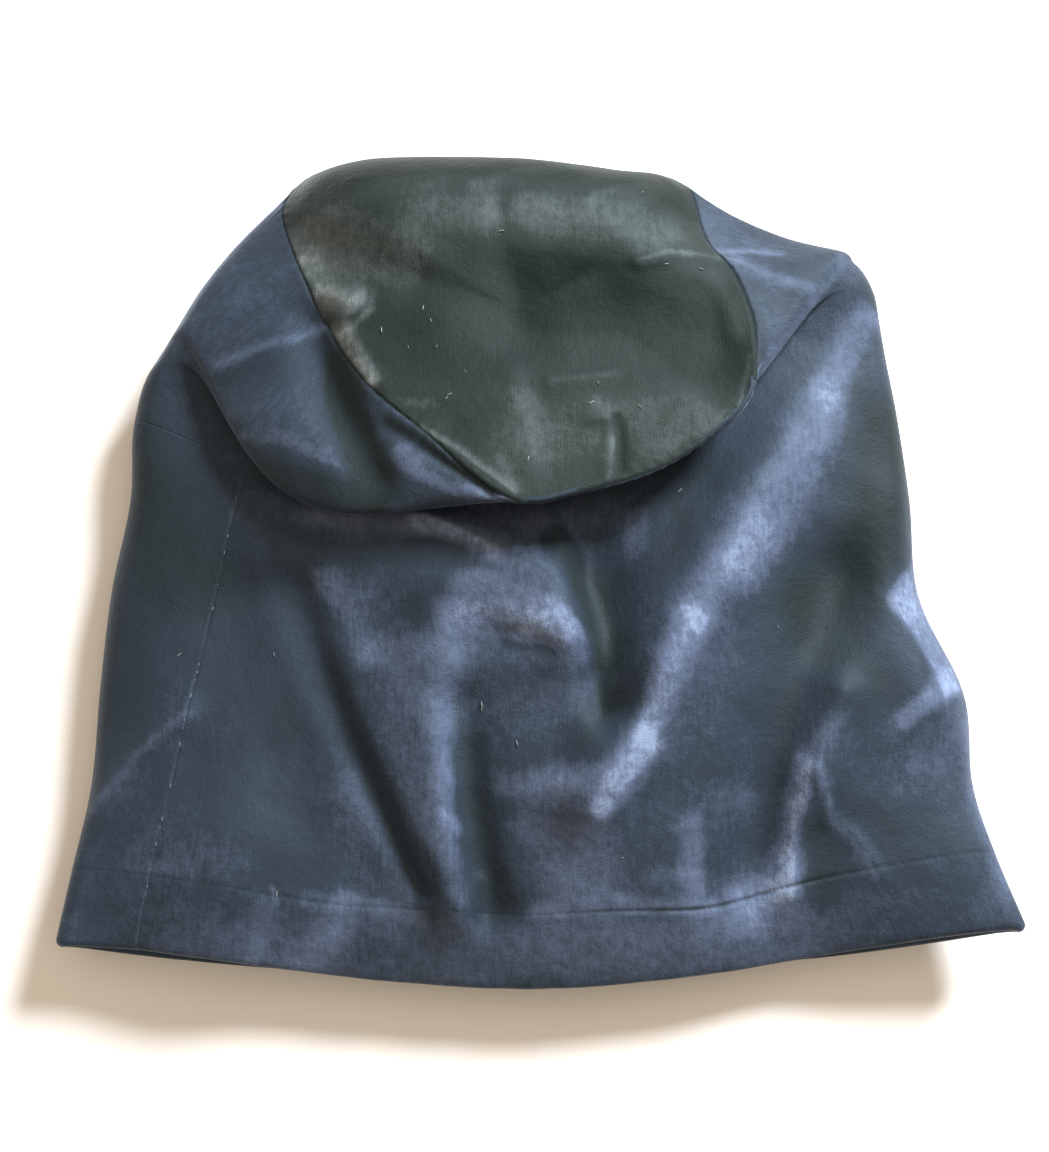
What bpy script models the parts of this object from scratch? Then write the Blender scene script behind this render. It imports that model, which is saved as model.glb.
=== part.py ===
"""A soft velvet cap lying on its back: a navy side tube with a turned-up hem, closed by a dark crown panel.

Metres, +Z up. +X runs along the hem, the hem's opening faces -Y, and the crown is flopped forward over the
tube. The origin is the middle of the bottom of the cap's box, on the table that it lies on.
"""

from collections import namedtuple

import bpy
import numpy as np

# Driving sizes.
CLOTH = 0.0018  # thickness of the velvet with its pile
SEWN_GAP = 0.0004  # between pieces that are sewn together
TABLE = 0.0  # height of the table, which the lower layer lies flat on

# How finely the surfaces are cut, and how the facets are spread.
OVER_STEPS = 46  # facets across the upper layer, from side fold to side fold
UNDER_STEPS = 20  # facets across the layer that lies on the table
OVER_SPREAD, UNDER_SPREAD = 0.35, 0.15  # how evenly they are spread; the lower, the more at the side folds
SIDE_RINGS, SIDE_ROWS = 2, 2  # sections of the crown's side between lip and seam, and the rows in each gap
CROWN_RINGS = 6  # rings of facets from the crown seam to the middle of the panel
CROWN_SPREAD = 1.25  # how these rings close up towards the seam
PATH_STEPS = 16  # straight steps that a fold's curve is measured in

# How the cloth bends.
BEND_EASE = 1.6  # how softly the lip's fold starts at its ends
UNDER_FULL, ARCH_EASE = 3.5, 0.8  # how full the lower layer is, and how softly both leave the side folds
FOLD_FADE = 10  # how close to the side folds and to the crown seam the folds below die out
SIDE_ROLL = 0.15  # how round the crown's side rolls from lip to seam, upwards in front and under behind
NORMAL_ROUNDS = 2  # how often the wall's directions are evened out round the tube
BALL_SHARE = 0.6  # the share of the largest ball's radius that the wall may take in a tight fold
BALL_START = 0.0001  # only points at least this far behind count for it

# The tube's cross-sections from the hem to the lip of the flopped crown. left and right are the side folds
# as x, y, z; over and under are the y and z of the middle of the upper and of the lower layer. sweep says how
# squarely the upper layer's line bends between the side folds, at its left and right half, and reach how far
# out the bend goes, as a share of the half width; full says how full the upper layer stands between the side
# folds, and fold is the radius of these; rows counts the facets up to the next section.
Section = namedtuple("Section", "name left right over under sweep reach full fold rows")
SECTIONS = (
    Section("hem edge", (-0.139, -0.112, 0.018), (0.1365, -0.107, 0.024), (-0.1250, 0.020), (-0.1210, -0.004),
            (2.0, 2.0), (1.0, 1.0), 2.3, 0.0052, 2),
    Section("hem line", (-0.1365, -0.091, 0.016), (0.1310, -0.086, 0.021), (-0.103, 0.031), (-0.0990, -0.002),
            (2.0, 2.0), (1.0, 1.0), 2.3, 0.0056, 4),
    Section("low belly", (-0.134, -0.064, 0.012), (0.1280, -0.064, 0.016), (-0.066, 0.038), (-0.0680, -0.002),
            (2.0, 2.0), (1.0, 1.0), 2.3, 0.0065, 4),
    Section("belly", (-0.1335, -0.037, 0.011), (0.1240, -0.039, 0.017), (-0.036, 0.041), (-0.0360, -0.002),
            (2.0, 2.0), (1.0, 1.0), 2.3, 0.0070, 3),
    Section("waist", (-0.131, -0.008, 0.012), (0.1125, -0.010, 0.019), (-0.008, 0.041), (-0.0060, -0.002),
            (2.0, 2.0), (1.0, 1.0), 2.3, 0.0075, 3),
    Section("chest", (-0.128, 0.020, 0.013), (0.1115, 0.018, 0.021), (0.018, 0.039), (0.0220, -0.002),
            (2.0, 2.0), (1.0, 1.0), 2.3, 0.0080, 2),
    Section("shoulder", (-0.1255, 0.040, 0.014), (0.1085, 0.044, 0.023), (0.042, 0.036), (0.0460, -0.002),
            (2.0, 2.0), (1.0, 1.0), 2.2, 0.0080, 2),
    Section("tuck floor", (-0.1240, 0.050, 0.015), (0.1065, 0.062, 0.024), (0.060, 0.036), (0.0640, -0.002),
            (3.6, 3.0), (0.96, 1.0), 2.2, 0.0080, 1),
    Section("tuck end", (-0.1228, 0.055, 0.0155), (0.1040, 0.073, 0.025), (0.066, 0.0385), (0.0740, -0.001),
            (3.6, 3.0), (0.96, 1.0), 2.3, 0.0080, 1),
    Section("tuck roof", (-0.1212, 0.059, 0.016), (0.1020, 0.081, 0.026), (0.060, 0.0415), (0.0830, -0.001),
            (3.8, 3.0), (0.96, 1.0), 2.4, 0.0080, 2),
    Section("lip underside", (-0.1190, 0.064, 0.017), (0.0990, 0.089, 0.027), (0.028, 0.0445), (0.0960, 0.001),
            (4.2, 3.2), (0.95, 1.0), 2.4, 0.0080, 2),
    Section("lip turn", (-0.1175, 0.067, 0.0175), (0.0975, 0.092, 0.0275), (0.011, 0.0480), (0.1020, 0.0025),
            (4.6, 3.4), (0.95, 1.0), 2.5, 0.0080, 2),
    Section("lip nose", (-0.1160, 0.070, 0.018), (0.0960, 0.095, 0.028), (0.006, 0.0535), (0.1080, 0.004),
            (4.6, 3.4), (0.95, 1.0), 2.6, 0.0080, 2),
)

# The crown seam, a closed line on which the tube ends and the panel starts, with the share of a turn round
# the tube that each point belongs to: 0 is the right side fold, 0.25 the upper middle and 0.5 the left side
# fold. puff is how far the crown's side stands out between the lip and this point.
SeamPoint = namedtuple("SeamPoint", "name turn x y z puff")
CROWN_SEAM = (
    SeamPoint("far right", 0.00, 0.0445, 0.1130, 0.028, -0.002),
    SeamPoint("right end", 0.032, 0.0500, 0.0935, 0.040, -0.003),
    SeamPoint("right corner", 0.056, 0.0575, 0.0810, 0.0455, -0.002),
    SeamPoint("right", 0.085, 0.0620, 0.0625, 0.0510, -0.001),
    SeamPoint("right turn", 0.125, 0.0590, 0.0390, 0.0560, 0.0005),
    SeamPoint("front right", 0.17, 0.037, 0.0210, 0.0570, 0.001),
    SeamPoint("front", 0.21, 0.014, 0.0125, 0.0585, 0.001),
    SeamPoint("tip", 0.25, -0.007, 0.0085, 0.0600, 0.001),
    SeamPoint("front left", 0.305, -0.033, 0.0290, 0.058, 0.003),
    SeamPoint("left", 0.37, -0.052, 0.0480, 0.052, 0.003),
    SeamPoint("left end", 0.43, -0.069, 0.0780, 0.042, 0.004),
    SeamPoint("far left", 0.48, -0.079, 0.1095, 0.027, 0.002),
    SeamPoint("behind left", 0.60, -0.060, 0.1275, 0.018, 0.004),
    SeamPoint("behind", 0.74, -0.012, 0.1320, 0.013, 0.001),
    SeamPoint("behind right", 0.88, 0.025, 0.1260, 0.018, -0.002),
)
CROWN_MIDDLE = (-0.006, 0.068, 0.0580)
PANEL_DROP = (0.018, 0.040)  # the panel rolls over its edge where it drops this far, gently and then fully
PANEL_ROUND = (2.2, 5.0)  # how squarely it does so

# Folds: ridges have a positive height and valleys a negative one. Each runs on a curve from start by bend to
# end, seen from above. near and wide are its widths on the left and on the right of that run, and taper is
# the factor on both at its end.
Fold = namedtuple("Fold", "name start bend end near wide taper height")
BODY_FOLDS = (
    Fold("hook ridge", (-0.071, 0.014), (0.002, 0.007), (0.011, -0.026), 0.008, 0.017, 1.1, 0.0055),
    Fold("deep hollow", (0.021, 0.006), (0.018, -0.020), (0.023, -0.047), 0.011, 0.008, 0.9, -0.0075),
    Fold("left valley", (-0.070, -0.012), (-0.054, -0.054), (-0.030, -0.098), 0.008, 0.016, 0.8, -0.0070),
    Fold("middle ridge", (-0.029, -0.015), (-0.031, -0.056), (-0.023, -0.100), 0.008, 0.016, 0.8, 0.0045),
    Fold("middle valley", (-0.021, -0.045), (-0.018, -0.078), (-0.012, -0.102), 0.009, 0.005, 1.0, -0.0055),
    Fold("long ridge", (0.096, 0.080), (0.048, -0.012), (0.014, -0.072), 0.013, 0.016, 0.8, 0.0085),
    Fold("right valley", (0.086, -0.008), (0.070, -0.050), (0.061, -0.094), 0.012, 0.012, 1.0, -0.0080),
    Fold("right crease", (0.087, -0.042), (0.075, -0.066), (0.074, -0.098), 0.009, 0.009, 1.0, 0.0050),
    Fold("side facet", (0.106, 0.016), (0.098, -0.016), (0.112, -0.044), 0.010, 0.010, 1.0, 0.0035),
    Fold("left crease", (-0.104, -0.046), (-0.116, -0.056), (-0.128, -0.074), 0.008, 0.008, 1.0, 0.0020),
    Fold("hem swell", (-0.094, -0.086), (-0.094, -0.105), (-0.092, -0.120), 0.020, 0.022, 1.0, 0.0055),
    Fold("hem dip", (0.074, -0.090), (0.076, -0.105), (0.078, -0.118), 0.020, 0.022, 1.0, -0.0060),
)
CROWN_FOLDS = (
    Fold("hollow of panel", (-0.004, 0.074), (0.020, 0.076), (0.048, 0.066), 0.010, 0.022, 0.9, -0.0055),
    Fold("valley at seam", (-0.067, 0.068), (-0.063, 0.044), (-0.047, 0.018), 0.006, 0.009, 1.0, -0.0050),
    Fold("lip ridge", (-0.086, 0.035), (-0.066, 0.030), (-0.048, 0.020), 0.009, 0.009, 1.0, 0.0020),
    Fold("far crease", (0.028, 0.087), (0.044, 0.092), (0.074, 0.090), 0.007, 0.009, 1.0, 0.0030),
)


def section_ring(section, across, upper):
    """Points of one cross-section, for places across it from -1 at the left side fold to 1 at the right."""
    left, right = np.array(section.left), np.array(section.right)
    ring = left + (right - left) * (across[:, None] + 1) / 2
    level = (left + right) / 2
    out = np.abs(across)
    share = out / np.where(across < 0, *section.reach)
    bend = np.clip(1 - share ** np.where(across < 0, *section.sweep), 0, 1)
    lean = np.where(upper, bend**BEND_EASE, 1 - out**2)
    ring[:, 1] += (np.where(upper, section.over[0], section.under[0]) - level[1]) * lean
    inward = np.minimum((1 - out) * (right[0] - left[0]) / 2 / section.fold, 1)
    turn = section.fold * np.sqrt(1 - (1 - inward) ** 2)
    rise = (section.over[1] - level[2] - section.fold) * (1 - out**section.full) ** ARCH_EASE
    fall = (level[2] - section.under[1] - section.fold) * (1 - out**UNDER_FULL) ** ARCH_EASE
    ring[:, 2] += np.where(upper, turn + rise, -turn - fall)
    return ring


def spline(knots, points, places):
    """Catmull-Rom curve through the points at the given knots, read at places; points may be whole rings."""
    knots, points = np.asarray(knots, float), np.asarray(points, float)
    slopes = np.empty_like(points)
    wide = (knots[2:] - knots[:-2]).reshape((-1,) + (1,) * (points.ndim - 1))
    slopes[1:-1] = (points[2:] - points[:-2]) / wide
    slopes[0] = (points[1] - points[0]) / (knots[1] - knots[0])
    slopes[-1] = (points[-1] - points[-2]) / (knots[-1] - knots[-2])
    index = np.clip(np.searchsorted(knots, places, side="right") - 1, 0, len(knots) - 2)
    step = knots[index + 1] - knots[index]
    s = (np.asarray(places) - knots[index]) / step
    shape = (-1,) + (1,) * (points.ndim - 1)
    s, step = s.reshape(shape), step.reshape(shape)
    return (
        (2 * s**3 - 3 * s**2 + 1) * points[index]
        + (s**3 - 2 * s**2 + s) * step * slopes[index]
        + (3 * s**2 - 2 * s**3) * points[index + 1]
        + (s**3 - s**2) * step * slopes[index + 1]
    )


def seam_line(turns):
    """The crown seam and its puff at the given shares of a turn round the tube."""
    rows = [point[1:] for point in CROWN_SEAM]
    before = [(turn - 1, *rest) for turn, *rest in rows[-3:]]
    after = [(turn + 1, *rest) for turn, *rest in rows[:3]]
    table = np.array(before + rows + after)
    line = spline(table[:, 0], table[:, 1:], turns)
    return line[:, :3], line[:, 3:]


def fold_heights(x, y, folds):
    """The sum of all folds at places seen from above."""
    total = np.zeros_like(x)
    f = np.linspace(0, 1, PATH_STEPS + 1)[:, None]
    for fold in folds:
        start, bend, end = np.array(fold.start), np.array(fold.bend), np.array(fold.end)
        path = (1 - f) ** 2 * start + 2 * f * (1 - f) * bend + f**2 * end
        run = np.diff(path, axis=0)
        length = np.linalg.norm(run, axis=1)
        run_x, run_y = (run / length[:, None]).T
        off_x, off_y = x[..., None] - path[:-1, 0], y[..., None] - path[:-1, 1]
        ahead = off_x * run_x + off_y * run_y
        aside = off_y * run_x - off_x * run_y
        beyond = ahead - np.clip(ahead, 0, length)
        nearest = (aside**2 + beyond**2).argmin(axis=-1)[..., None]
        aside = np.take_along_axis(aside, nearest, -1)[..., 0]
        beyond = np.take_along_axis(beyond, nearest, -1)[..., 0]
        done = np.clip(np.take_along_axis(ahead / length, nearest, -1), 0, 1)
        narrowing = 1 + (fold.taper - 1) * (nearest + done)[..., 0] / PATH_STEPS
        width = np.where(aside > 0, fold.near, fold.wide) * narrowing
        end_width = (fold.near + fold.wide) / 2 * narrowing
        total += fold.height * np.exp(-((aside / width) ** 2) - (beyond / end_width) ** 2)
    return total


def places_across(turns):
    """Places across the tube from -1 at the left side fold to 1 at the right one, and which are on top."""
    turns = turns % 1
    upper = turns < 0.5
    bearing = np.where(upper, 1 - 4 * turns, 4 * turns - 3)
    spread = np.where(upper, OVER_SPREAD, UNDER_SPREAD)
    return spread * bearing + (1 - spread) * np.sin(bearing * np.pi / 2), upper


def smooth_step(low, high, value):
    share = np.clip((value - low) / (high - low), 0, 1)
    return share * share * (3 - 2 * share)


def tube_surface(turns):
    """The tube's outer side as rows of points from the hem to the crown seam, and the row of the hem line."""
    across, upper = places_across(turns)
    rings = [section_ring(section, across, upper) for section in SECTIONS]
    seam, puff = seam_line(turns % 1)
    outward = seam - np.array(CROWN_MIDDLE)
    outward[:, 2] = 0
    outward /= np.linalg.norm(outward, axis=1)[:, None]
    nose = rings[-1]
    for share in np.linspace(0, 1, SIDE_RINGS + 2)[1:-1]:
        roll = SIDE_ROLL * np.sin(np.pi * share) * np.sin(2 * np.pi * turns)
        shares = np.stack((share - roll, share - roll, share + roll), axis=1)
        rings.append(nose + (seam - nose) * shares + outward * puff)
    rings.append(seam)
    rings = np.array(rings)
    steps = np.linalg.norm(np.diff(rings, axis=0), axis=2).mean(axis=1)
    knots = np.concatenate(([0], np.cumsum(np.sqrt(steps))))
    rows = [section.rows for section in SECTIONS] + [SIDE_ROWS] * SIDE_RINGS
    places = [np.linspace(knots[k], knots[k + 1], count, endpoint=False) for k, count in enumerate(rows)]
    places = np.concatenate(places + [[knots[-1]]])
    surface = spline(knots, rings, places)
    knot = dict(zip([section.name for section in SECTIONS], knots))
    body = 1 - smooth_step(knot["chest"], knot["tuck floor"], places)
    crown = smooth_step(knot["lip underside"], knots[len(SECTIONS)], places)
    x, y = surface[..., 0], surface[..., 1]
    lift = fold_heights(x, y, BODY_FOLDS) * body[:, None]
    lift += fold_heights(x, y, CROWN_FOLDS) * crown[:, None]
    surface[..., 2] += lift * np.where(upper, 1 - np.abs(across) ** FOLD_FADE, 0)
    surface[..., 2] = np.maximum(surface[..., 2], TABLE)
    return surface, rows[0]


def crown_surface(turns):
    """The crown panel's outer side as rings from the seam to the middle."""
    across, upper = places_across(turns)
    seam = seam_line(turns % 1)[0]
    middle = np.array(CROWN_MIDDLE)
    drop = middle[2] - seam[:, 2]
    roundness = PANEL_ROUND[0] + (PANEL_ROUND[1] - PANEL_ROUND[0]) * smooth_step(*PANEL_DROP, drop)
    flat_part = np.where(upper, np.abs(across) ** FOLD_FADE, 1)
    rows = []
    for share in 1 - np.linspace(0, 1, CROWN_RINGS, endpoint=False) ** CROWN_SPREAD:
        ring = middle + (seam - middle) * share
        ring[:, 2] = middle[2] - drop * share**roundness
        lift = fold_heights(ring[:, 0], ring[:, 1], CROWN_FOLDS)
        ring[:, 2] += lift * (1 - flat_part * share**FOLD_FADE)
        rows.append(ring)
    return np.array(rows)


def grid_normals(surface):
    """Outward normals of rows of rings."""
    along = np.gradient(surface, axis=0)
    around = np.roll(surface, -1, axis=1) - np.roll(surface, 1, axis=1)
    normal = np.cross(along, around)
    normal /= np.linalg.norm(normal, axis=2)[..., None]
    for _ in range(NORMAL_ROUNDS):
        normal = (np.roll(normal, 1, axis=1) + 2 * normal + np.roll(normal, -1, axis=1)) / 4
    return normal / np.linalg.norm(normal, axis=2)[..., None]


def even_out(normals):
    """Evens out normals from row to row, apart from the first and the last."""
    normals[1:-1] = (normals[:-2] + 2 * normals[1:-1] + normals[2:]) / 4
    normals /= np.linalg.norm(normals, axis=2)[..., None]


def wall_depths(surface, normals, skin):
    """How thick the wall is behind each point: the cloth, or less where it is folded tighter than that.

    The tightness is the radius of the largest ball that touches the surface there from inside and reaches no
    other point of the cap's skin.
    """
    depths = np.empty(surface.shape[0] * surface.shape[1])
    for index, (point, normal) in enumerate(zip(surface.reshape(-1, 3), normals.reshape(-1, 3))):
        off = point - skin
        inward = off @ normal
        behind = inward > BALL_START
        radius = ((off[behind] ** 2).sum(axis=1) / (2 * inward[behind])).min()
        depths[index] = min(CLOTH, BALL_SHARE * radius)
    return depths.reshape(surface.shape[:2] + (1,))


def add_object(name, rows, faces, color, roughness):
    """An object from a list of points and faces, with its own material."""
    mesh = bpy.data.meshes.new(name)
    mesh.from_pydata([tuple(p) for p in rows], [], faces)
    mesh.shade_smooth()
    material = bpy.data.materials.new(name)
    material.use_nodes = True
    shader = material.node_tree.nodes["Principled BSDF"]
    shader.inputs["Base Color"].default_value = (*color, 1)
    shader.inputs["Roughness"].default_value = roughness
    mesh.materials.append(material)
    item = bpy.data.objects.new(name, mesh)
    bpy.context.collection.objects.link(item)
    return item


def ring_faces(count, rows):
    """Quads between neighbouring rings of equal count, facing out."""
    faces = []
    for row in range(rows - 1):
        low, high = row * count, (row + 1) * count
        for i in range(count):
            j = (i + 1) % count
            faces.append((low + i, high + i, high + j, low + j))
    return faces


def wall_faces(count, rows, last_rim):
    """Both sides of a wall whose inner rings follow its outer ones, split alike, with its first rim."""
    outer = ring_faces(count, rows)
    inside = count * rows
    faces = list(outer)
    faces += [(inside + a, inside + d, inside + c, inside + b) for a, b, c, d in outer]
    end = count * (rows - 1)
    for i in range(count):
        j = (i + 1) % count
        faces.append((j, inside + j, inside + i, i))
        if last_rim:
            faces.append((end + j, end + i, inside + end + i, inside + end + j))
    return faces


def hollow_band(name, outer, inner, color, roughness):
    """A closed wall between two stacks of rings that is open at both ends."""
    rows, count = outer.shape[:2]
    points = np.concatenate((outer.reshape(-1, 3), inner.reshape(-1, 3)))
    return add_object(name, points, wall_faces(count, rows, last_rim=True), color, roughness)


def domed_panel(name, outer, inner, color, roughness):
    """A closed wall between two stacks of rings that close in a middle point each."""
    rows, count = outer.shape[:2]
    middles = [outer[-1].mean(axis=0), inner[-1].mean(axis=0)]
    points = np.concatenate((outer.reshape(-1, 3), inner.reshape(-1, 3), middles))
    faces = wall_faces(count, rows, last_rim=False)
    inside = count * rows
    end, top, bottom = inside - count, 2 * inside, 2 * inside + 1
    for i in range(count):
        j = (i + 1) % count
        faces.append((end + i, top, end + j))
        faces.append((inside + end + i, inside + end + j, bottom))
    return add_object(name, points, faces, color, roughness)


def ring_turns():
    over = np.linspace(0, 0.5, OVER_STEPS, endpoint=False)
    under = np.linspace(0.5, 1, UNDER_STEPS, endpoint=False)
    return np.concatenate((over, under))


NAVY = (0.028, 0.040, 0.095)
BLACK_GREEN = (0.013, 0.020, 0.020)
VELVET_ROUGHNESS = 0.85


def build():
    for item in list(bpy.data.objects):
        bpy.data.objects.remove(item)
    turns = ring_turns()
    tube, hem_row = tube_surface(turns)
    crown = crown_surface(turns)
    skin = np.concatenate((tube.reshape(-1, 3), crown.reshape(-1, 3)))
    origin = (skin.min(axis=0) + skin.max(axis=0)) / 2
    origin[2] = TABLE
    for surface in (tube, crown, skin):
        surface -= origin

    # Both walls meet at the crown seam on one line square to the cloth.
    tube_out = grid_normals(tube)
    crown_out = grid_normals(crown)
    seam_out = tube_out[-1] + crown_out[0]
    seam_out /= np.linalg.norm(seam_out, axis=1)[:, None]
    tube_out[-1] = crown_out[0] = seam_out
    even_out(tube_out)
    even_out(crown_out)
    inward = crown[1] - crown[0]
    inward /= np.linalg.norm(inward, axis=1)[:, None]
    crown[0] += inward * SEWN_GAP

    tube_in = tube - tube_out * wall_depths(tube, tube_out, skin)
    hollow_band("side_tube", tube, tube_in, NAVY, VELVET_ROUGHNESS)
    hem = slice(0, hem_row + 1)
    hem_outer = tube[hem] - tube_out[hem] * (CLOTH + SEWN_GAP)
    hem_inner = tube[hem] - tube_out[hem] * (2 * CLOTH + SEWN_GAP)
    hollow_band("turned_up_hem", hem_outer, hem_inner, NAVY, VELVET_ROUGHNESS)
    crown_in = crown - crown_out * wall_depths(crown, crown_out, skin)
    domed_panel("crown_panel", crown, crown_in, BLACK_GREEN, VELVET_ROUGHNESS)


build()
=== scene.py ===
"""The looks of a soft velvet cap that lies on its back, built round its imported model.

A navy side tube with a turned-up hem is closed by a dark crown panel, which is flopped forward over the tube.
Metres, +Z up. +X runs along the hem, and the hem's opening faces -Y.
"""

import math
from collections import namedtuple

import bpy
import numpy as np
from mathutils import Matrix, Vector, noise


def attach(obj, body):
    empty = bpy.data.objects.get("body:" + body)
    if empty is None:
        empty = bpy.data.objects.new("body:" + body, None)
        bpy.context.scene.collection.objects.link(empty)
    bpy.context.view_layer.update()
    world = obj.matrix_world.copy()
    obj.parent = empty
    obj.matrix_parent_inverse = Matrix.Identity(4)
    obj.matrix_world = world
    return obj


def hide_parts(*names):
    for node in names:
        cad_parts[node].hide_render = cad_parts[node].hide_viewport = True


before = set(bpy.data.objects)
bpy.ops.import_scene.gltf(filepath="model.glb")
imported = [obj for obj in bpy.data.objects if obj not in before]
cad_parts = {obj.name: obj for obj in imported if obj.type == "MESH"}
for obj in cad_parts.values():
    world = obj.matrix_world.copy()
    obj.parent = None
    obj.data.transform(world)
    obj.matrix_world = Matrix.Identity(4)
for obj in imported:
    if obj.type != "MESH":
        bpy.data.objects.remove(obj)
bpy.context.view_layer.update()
BODY = "root"

# ------------------------------------------------------------
# Side tube. One cut of navy cotton velvet, closed by a lengthwise seam at the left of the upper layer. It
# lies flat, open at the hem, and its far end is folded forward over itself, so that the crown shows on top.
# The cloth is drawn through cross-sections from the hem to the lip, with the folds that it has fallen into.
# ------------------------------------------------------------

MM = 0.001  # tables are in millimetres, and all else in metres
CLOTH = 0.0018  # thickness of the velvet with its pile
CAP_MIDDLE = np.array((-0.00125, 0.00349, 0.0))  # middle of the cap's box in the frame of the tables
OVER_SPREAD, UNDER_SPREAD = 0.35, 0.15  # how evenly the columns are spread; the lower, the more at the sides
BEND_EASE, ARCH_EASE = 1.6, 0.8  # how softly the upper layer's line bends, and how softly both layers arch
UNDER_FULL = 3.5  # how full the lower layer stands between the side folds
SIDE_RINGS, SIDE_ROLL = 2, 0.15  # rings on the crown's side between the lip and the seam, and how far they roll
FOLD_FADE = 10  # how close to the edge a fold still has its full height; the higher, the closer
PATH_STEPS = 24  # straight steps in the run of a fold
FOLD_REACH = 3  # widths past which a fold is over

# left and right are the side folds as x, y, z; over and under are the y and z of the middle of the upper and
# of the lower layer. sweep says how squarely the upper layer's line bends and reach how far out, each on the
# left and on the right. full says how full the upper layer stands between the side folds, fold is the radius
# of these, and rows is the number of rows up to the next section.
Section = namedtuple("Section", "name left right over under sweep reach full fold rows")
SECTIONS = [Section(*row) for row in (
    ("hem edge", (-140, -112, 18), (138, -107.5, 24), (-125, 20), (-121, -4), (1.8, 1.85), (1, 1), 2.3, 5.2, 16),
    ("hem line", (-136.8, -91, 16), (130.8, -86, 21), (-103, 31), (-99, -2), (2, 2), (1, 1), 2.3, 5.6, 31),
    ("low belly", (-133.4, -66, 12), (126.8, -66, 16), (-66, 38), (-68, -2), (2, 2), (1, 1), 2.3, 6.5, 24),
    ("belly", (-132.6, -37, 11), (125.4, -40, 17), (-36, 41), (-36, -2), (2, 2), (1, 1), 2.3, 7, 24),
    ("waist", (-130.4, -8, 12), (113, -11, 19), (-8, 41), (-6, -2), (2, 2), (1, 1), 2.3, 7.5, 22),
    ("chest", (-125.9, 20, 13), (111.2, 18, 21), (18, 39), (22, -2), (2, 2), (1, 1), 2.3, 8, 20),
    ("shoulder", (-126, 40, 14), (108.2, 44, 23), (42, 36), (46, -2), (2, 2), (1, 1), 2.2, 8, 8),
    ("tuck floor", (-124.6, 50, 15), (105.4, 62, 24), (60, 36), (64, -2), (3.6, 3), (0.96, 1), 2.2, 8, 5),
    ("tuck end", (-123.4, 55, 15.5), (103.8, 73, 25), (66, 38.5), (74, -1), (3.6, 3), (0.96, 1), 2.3, 8, 5),
    ("tuck roof", (-121.8, 59, 16), (102.6, 81, 26), (60, 41.5), (83, -1), (3.8, 3), (0.96, 1), 2.4, 8, 12),
    ("lip underside", (-119, 63, 17), (99.4, 88, 27), (30, 44.5), (96, 1), (4.4, 3.3), (0.95, 1), 2.4, 8, 9),
    ("lip turn", (-116.5, 67, 17.5), (96.2, 91.5, 27.5), (15.5, 48), (102, 2.5), (5, 3.5), (0.95, 1), 2.5, 8, 6),
    ("lip nose", (-114, 71, 18), (93, 94.5, 28), (11, 53.5), (108, 4), (5.2, 3.5), (0.95, 1), 2.6, 8, 12),
)]

# Points of the seam as name, turn, x, y, z and puff. turn is the share of a turn round the tube: 0 is the
# right side fold, 0.25 the upper middle and 0.5 the left side fold. puff is how far the crown's side stands
# out between the lip and this point.
CROWN_SEAM = (
    ("far right", 0, 46, 117, 28, -2.5),
    ("right end", 0.032, 50, 93.5, 40, -6.5),
    ("right corner", 0.056, 57.5, 81, 45.5, -2),
    ("right", 0.085, 62, 62.5, 51, -1),
    ("right turn", 0.125, 59, 39, 56, 0.5),
    ("front right", 0.17, 37, 21, 57, 1),
    ("front", 0.21, 14, 12.5, 58.5, 1),
    ("tip", 0.25, -7, 8.5, 60, 1),
    ("front left", 0.305, -33, 29, 58, 3),
    ("left", 0.37, -52, 48, 52, 3),
    ("left end", 0.43, -69, 78, 42, 0.6),
    ("far left", 0.48, -79.7, 110.7, 27, 2.4),
    ("behind left", 0.6, -61, 129.5, 18, 5),
    ("behind", 0.74, -12, 132, 13, 1),
    ("behind right", 0.88, 25, 126.5, 18, 2),
)
SEAM_OVERLAP = 3  # points that the seam's curve goes on for past its start and its end
CROWN_MIDDLE = np.array((-0.006, 0.068, 0.058))

# Folds: ridges have a positive height and valleys a negative one. Each runs on a curve from start by bend to
# end, seen from above. near and wide are its widths on the left and on the right of that run, and taper is
# the factor on both at its end. A higher edge gives it steeper sides round a flatter middle. Where a row
# leaves them out, taper is 1 and edge is 2.
Fold = namedtuple("Fold", "name start bend end near wide height taper edge", defaults=(1, 2))
BODY_FOLDS = (
    ("hook ridge", (-71, 14), (4, 7), (12, -26), 5, 17, 5, 1.1),
    ("deep hollow", (15, 6), (13, -20), (17.5, -47), 12, 5.5, -6, 0.9),
    ("left valley", (-72, -12), (-58.7, -51.9), (-33.7, -96), 6.5, 9, -4, 0.42),
    ("middle ridge", (-29, -15), (-31, -56), (-25, -100), 8, 13, 4.5, 0.7),
    ("middle valley", (-25, -45), (-22.6, -78), (-15.5, -102), 8, 5, -5),
    ("long ridge", (96, 80), (48, -12), (14, -72), 13, 16, 8.5, 0.8),
    ("right valley", (86, -8), (68, -50), (58, -94), 12, 13, -6.5),
    ("right crease", (84, -42), (72, -68), (72, -98), 9, 10, 3.6),
    ("side facet", (106, 16), (98, -16), (112, -44), 10, 10, 3.5),
    ("left crease", (-104, -46), (-116, -56), (-128, -74), 8, 8, 2),
    ("hem swell", (-94, -86), (-94, -105), (-92, -120), 20, 22, 5.5),
    ("hem dip", (74, -90), (76, -105), (78, -118), 20, 22, -6),
)
CROWN_FOLDS = (
    ("hollow of panel", (-4, 66), (20, 67), (46, 57), 17, 18, -5.2, 0.9),
    ("valley at seam", (-67, 68), (-63, 44), (-47, 18), 6, 9, -5),
    ("lip ridge", (-86, 35), (-66, 30), (-48, 20), 9, 9, 2),
    ("far crease", (28, 87), (44, 92), (74, 90), 7, 9, 3),
)

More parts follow.
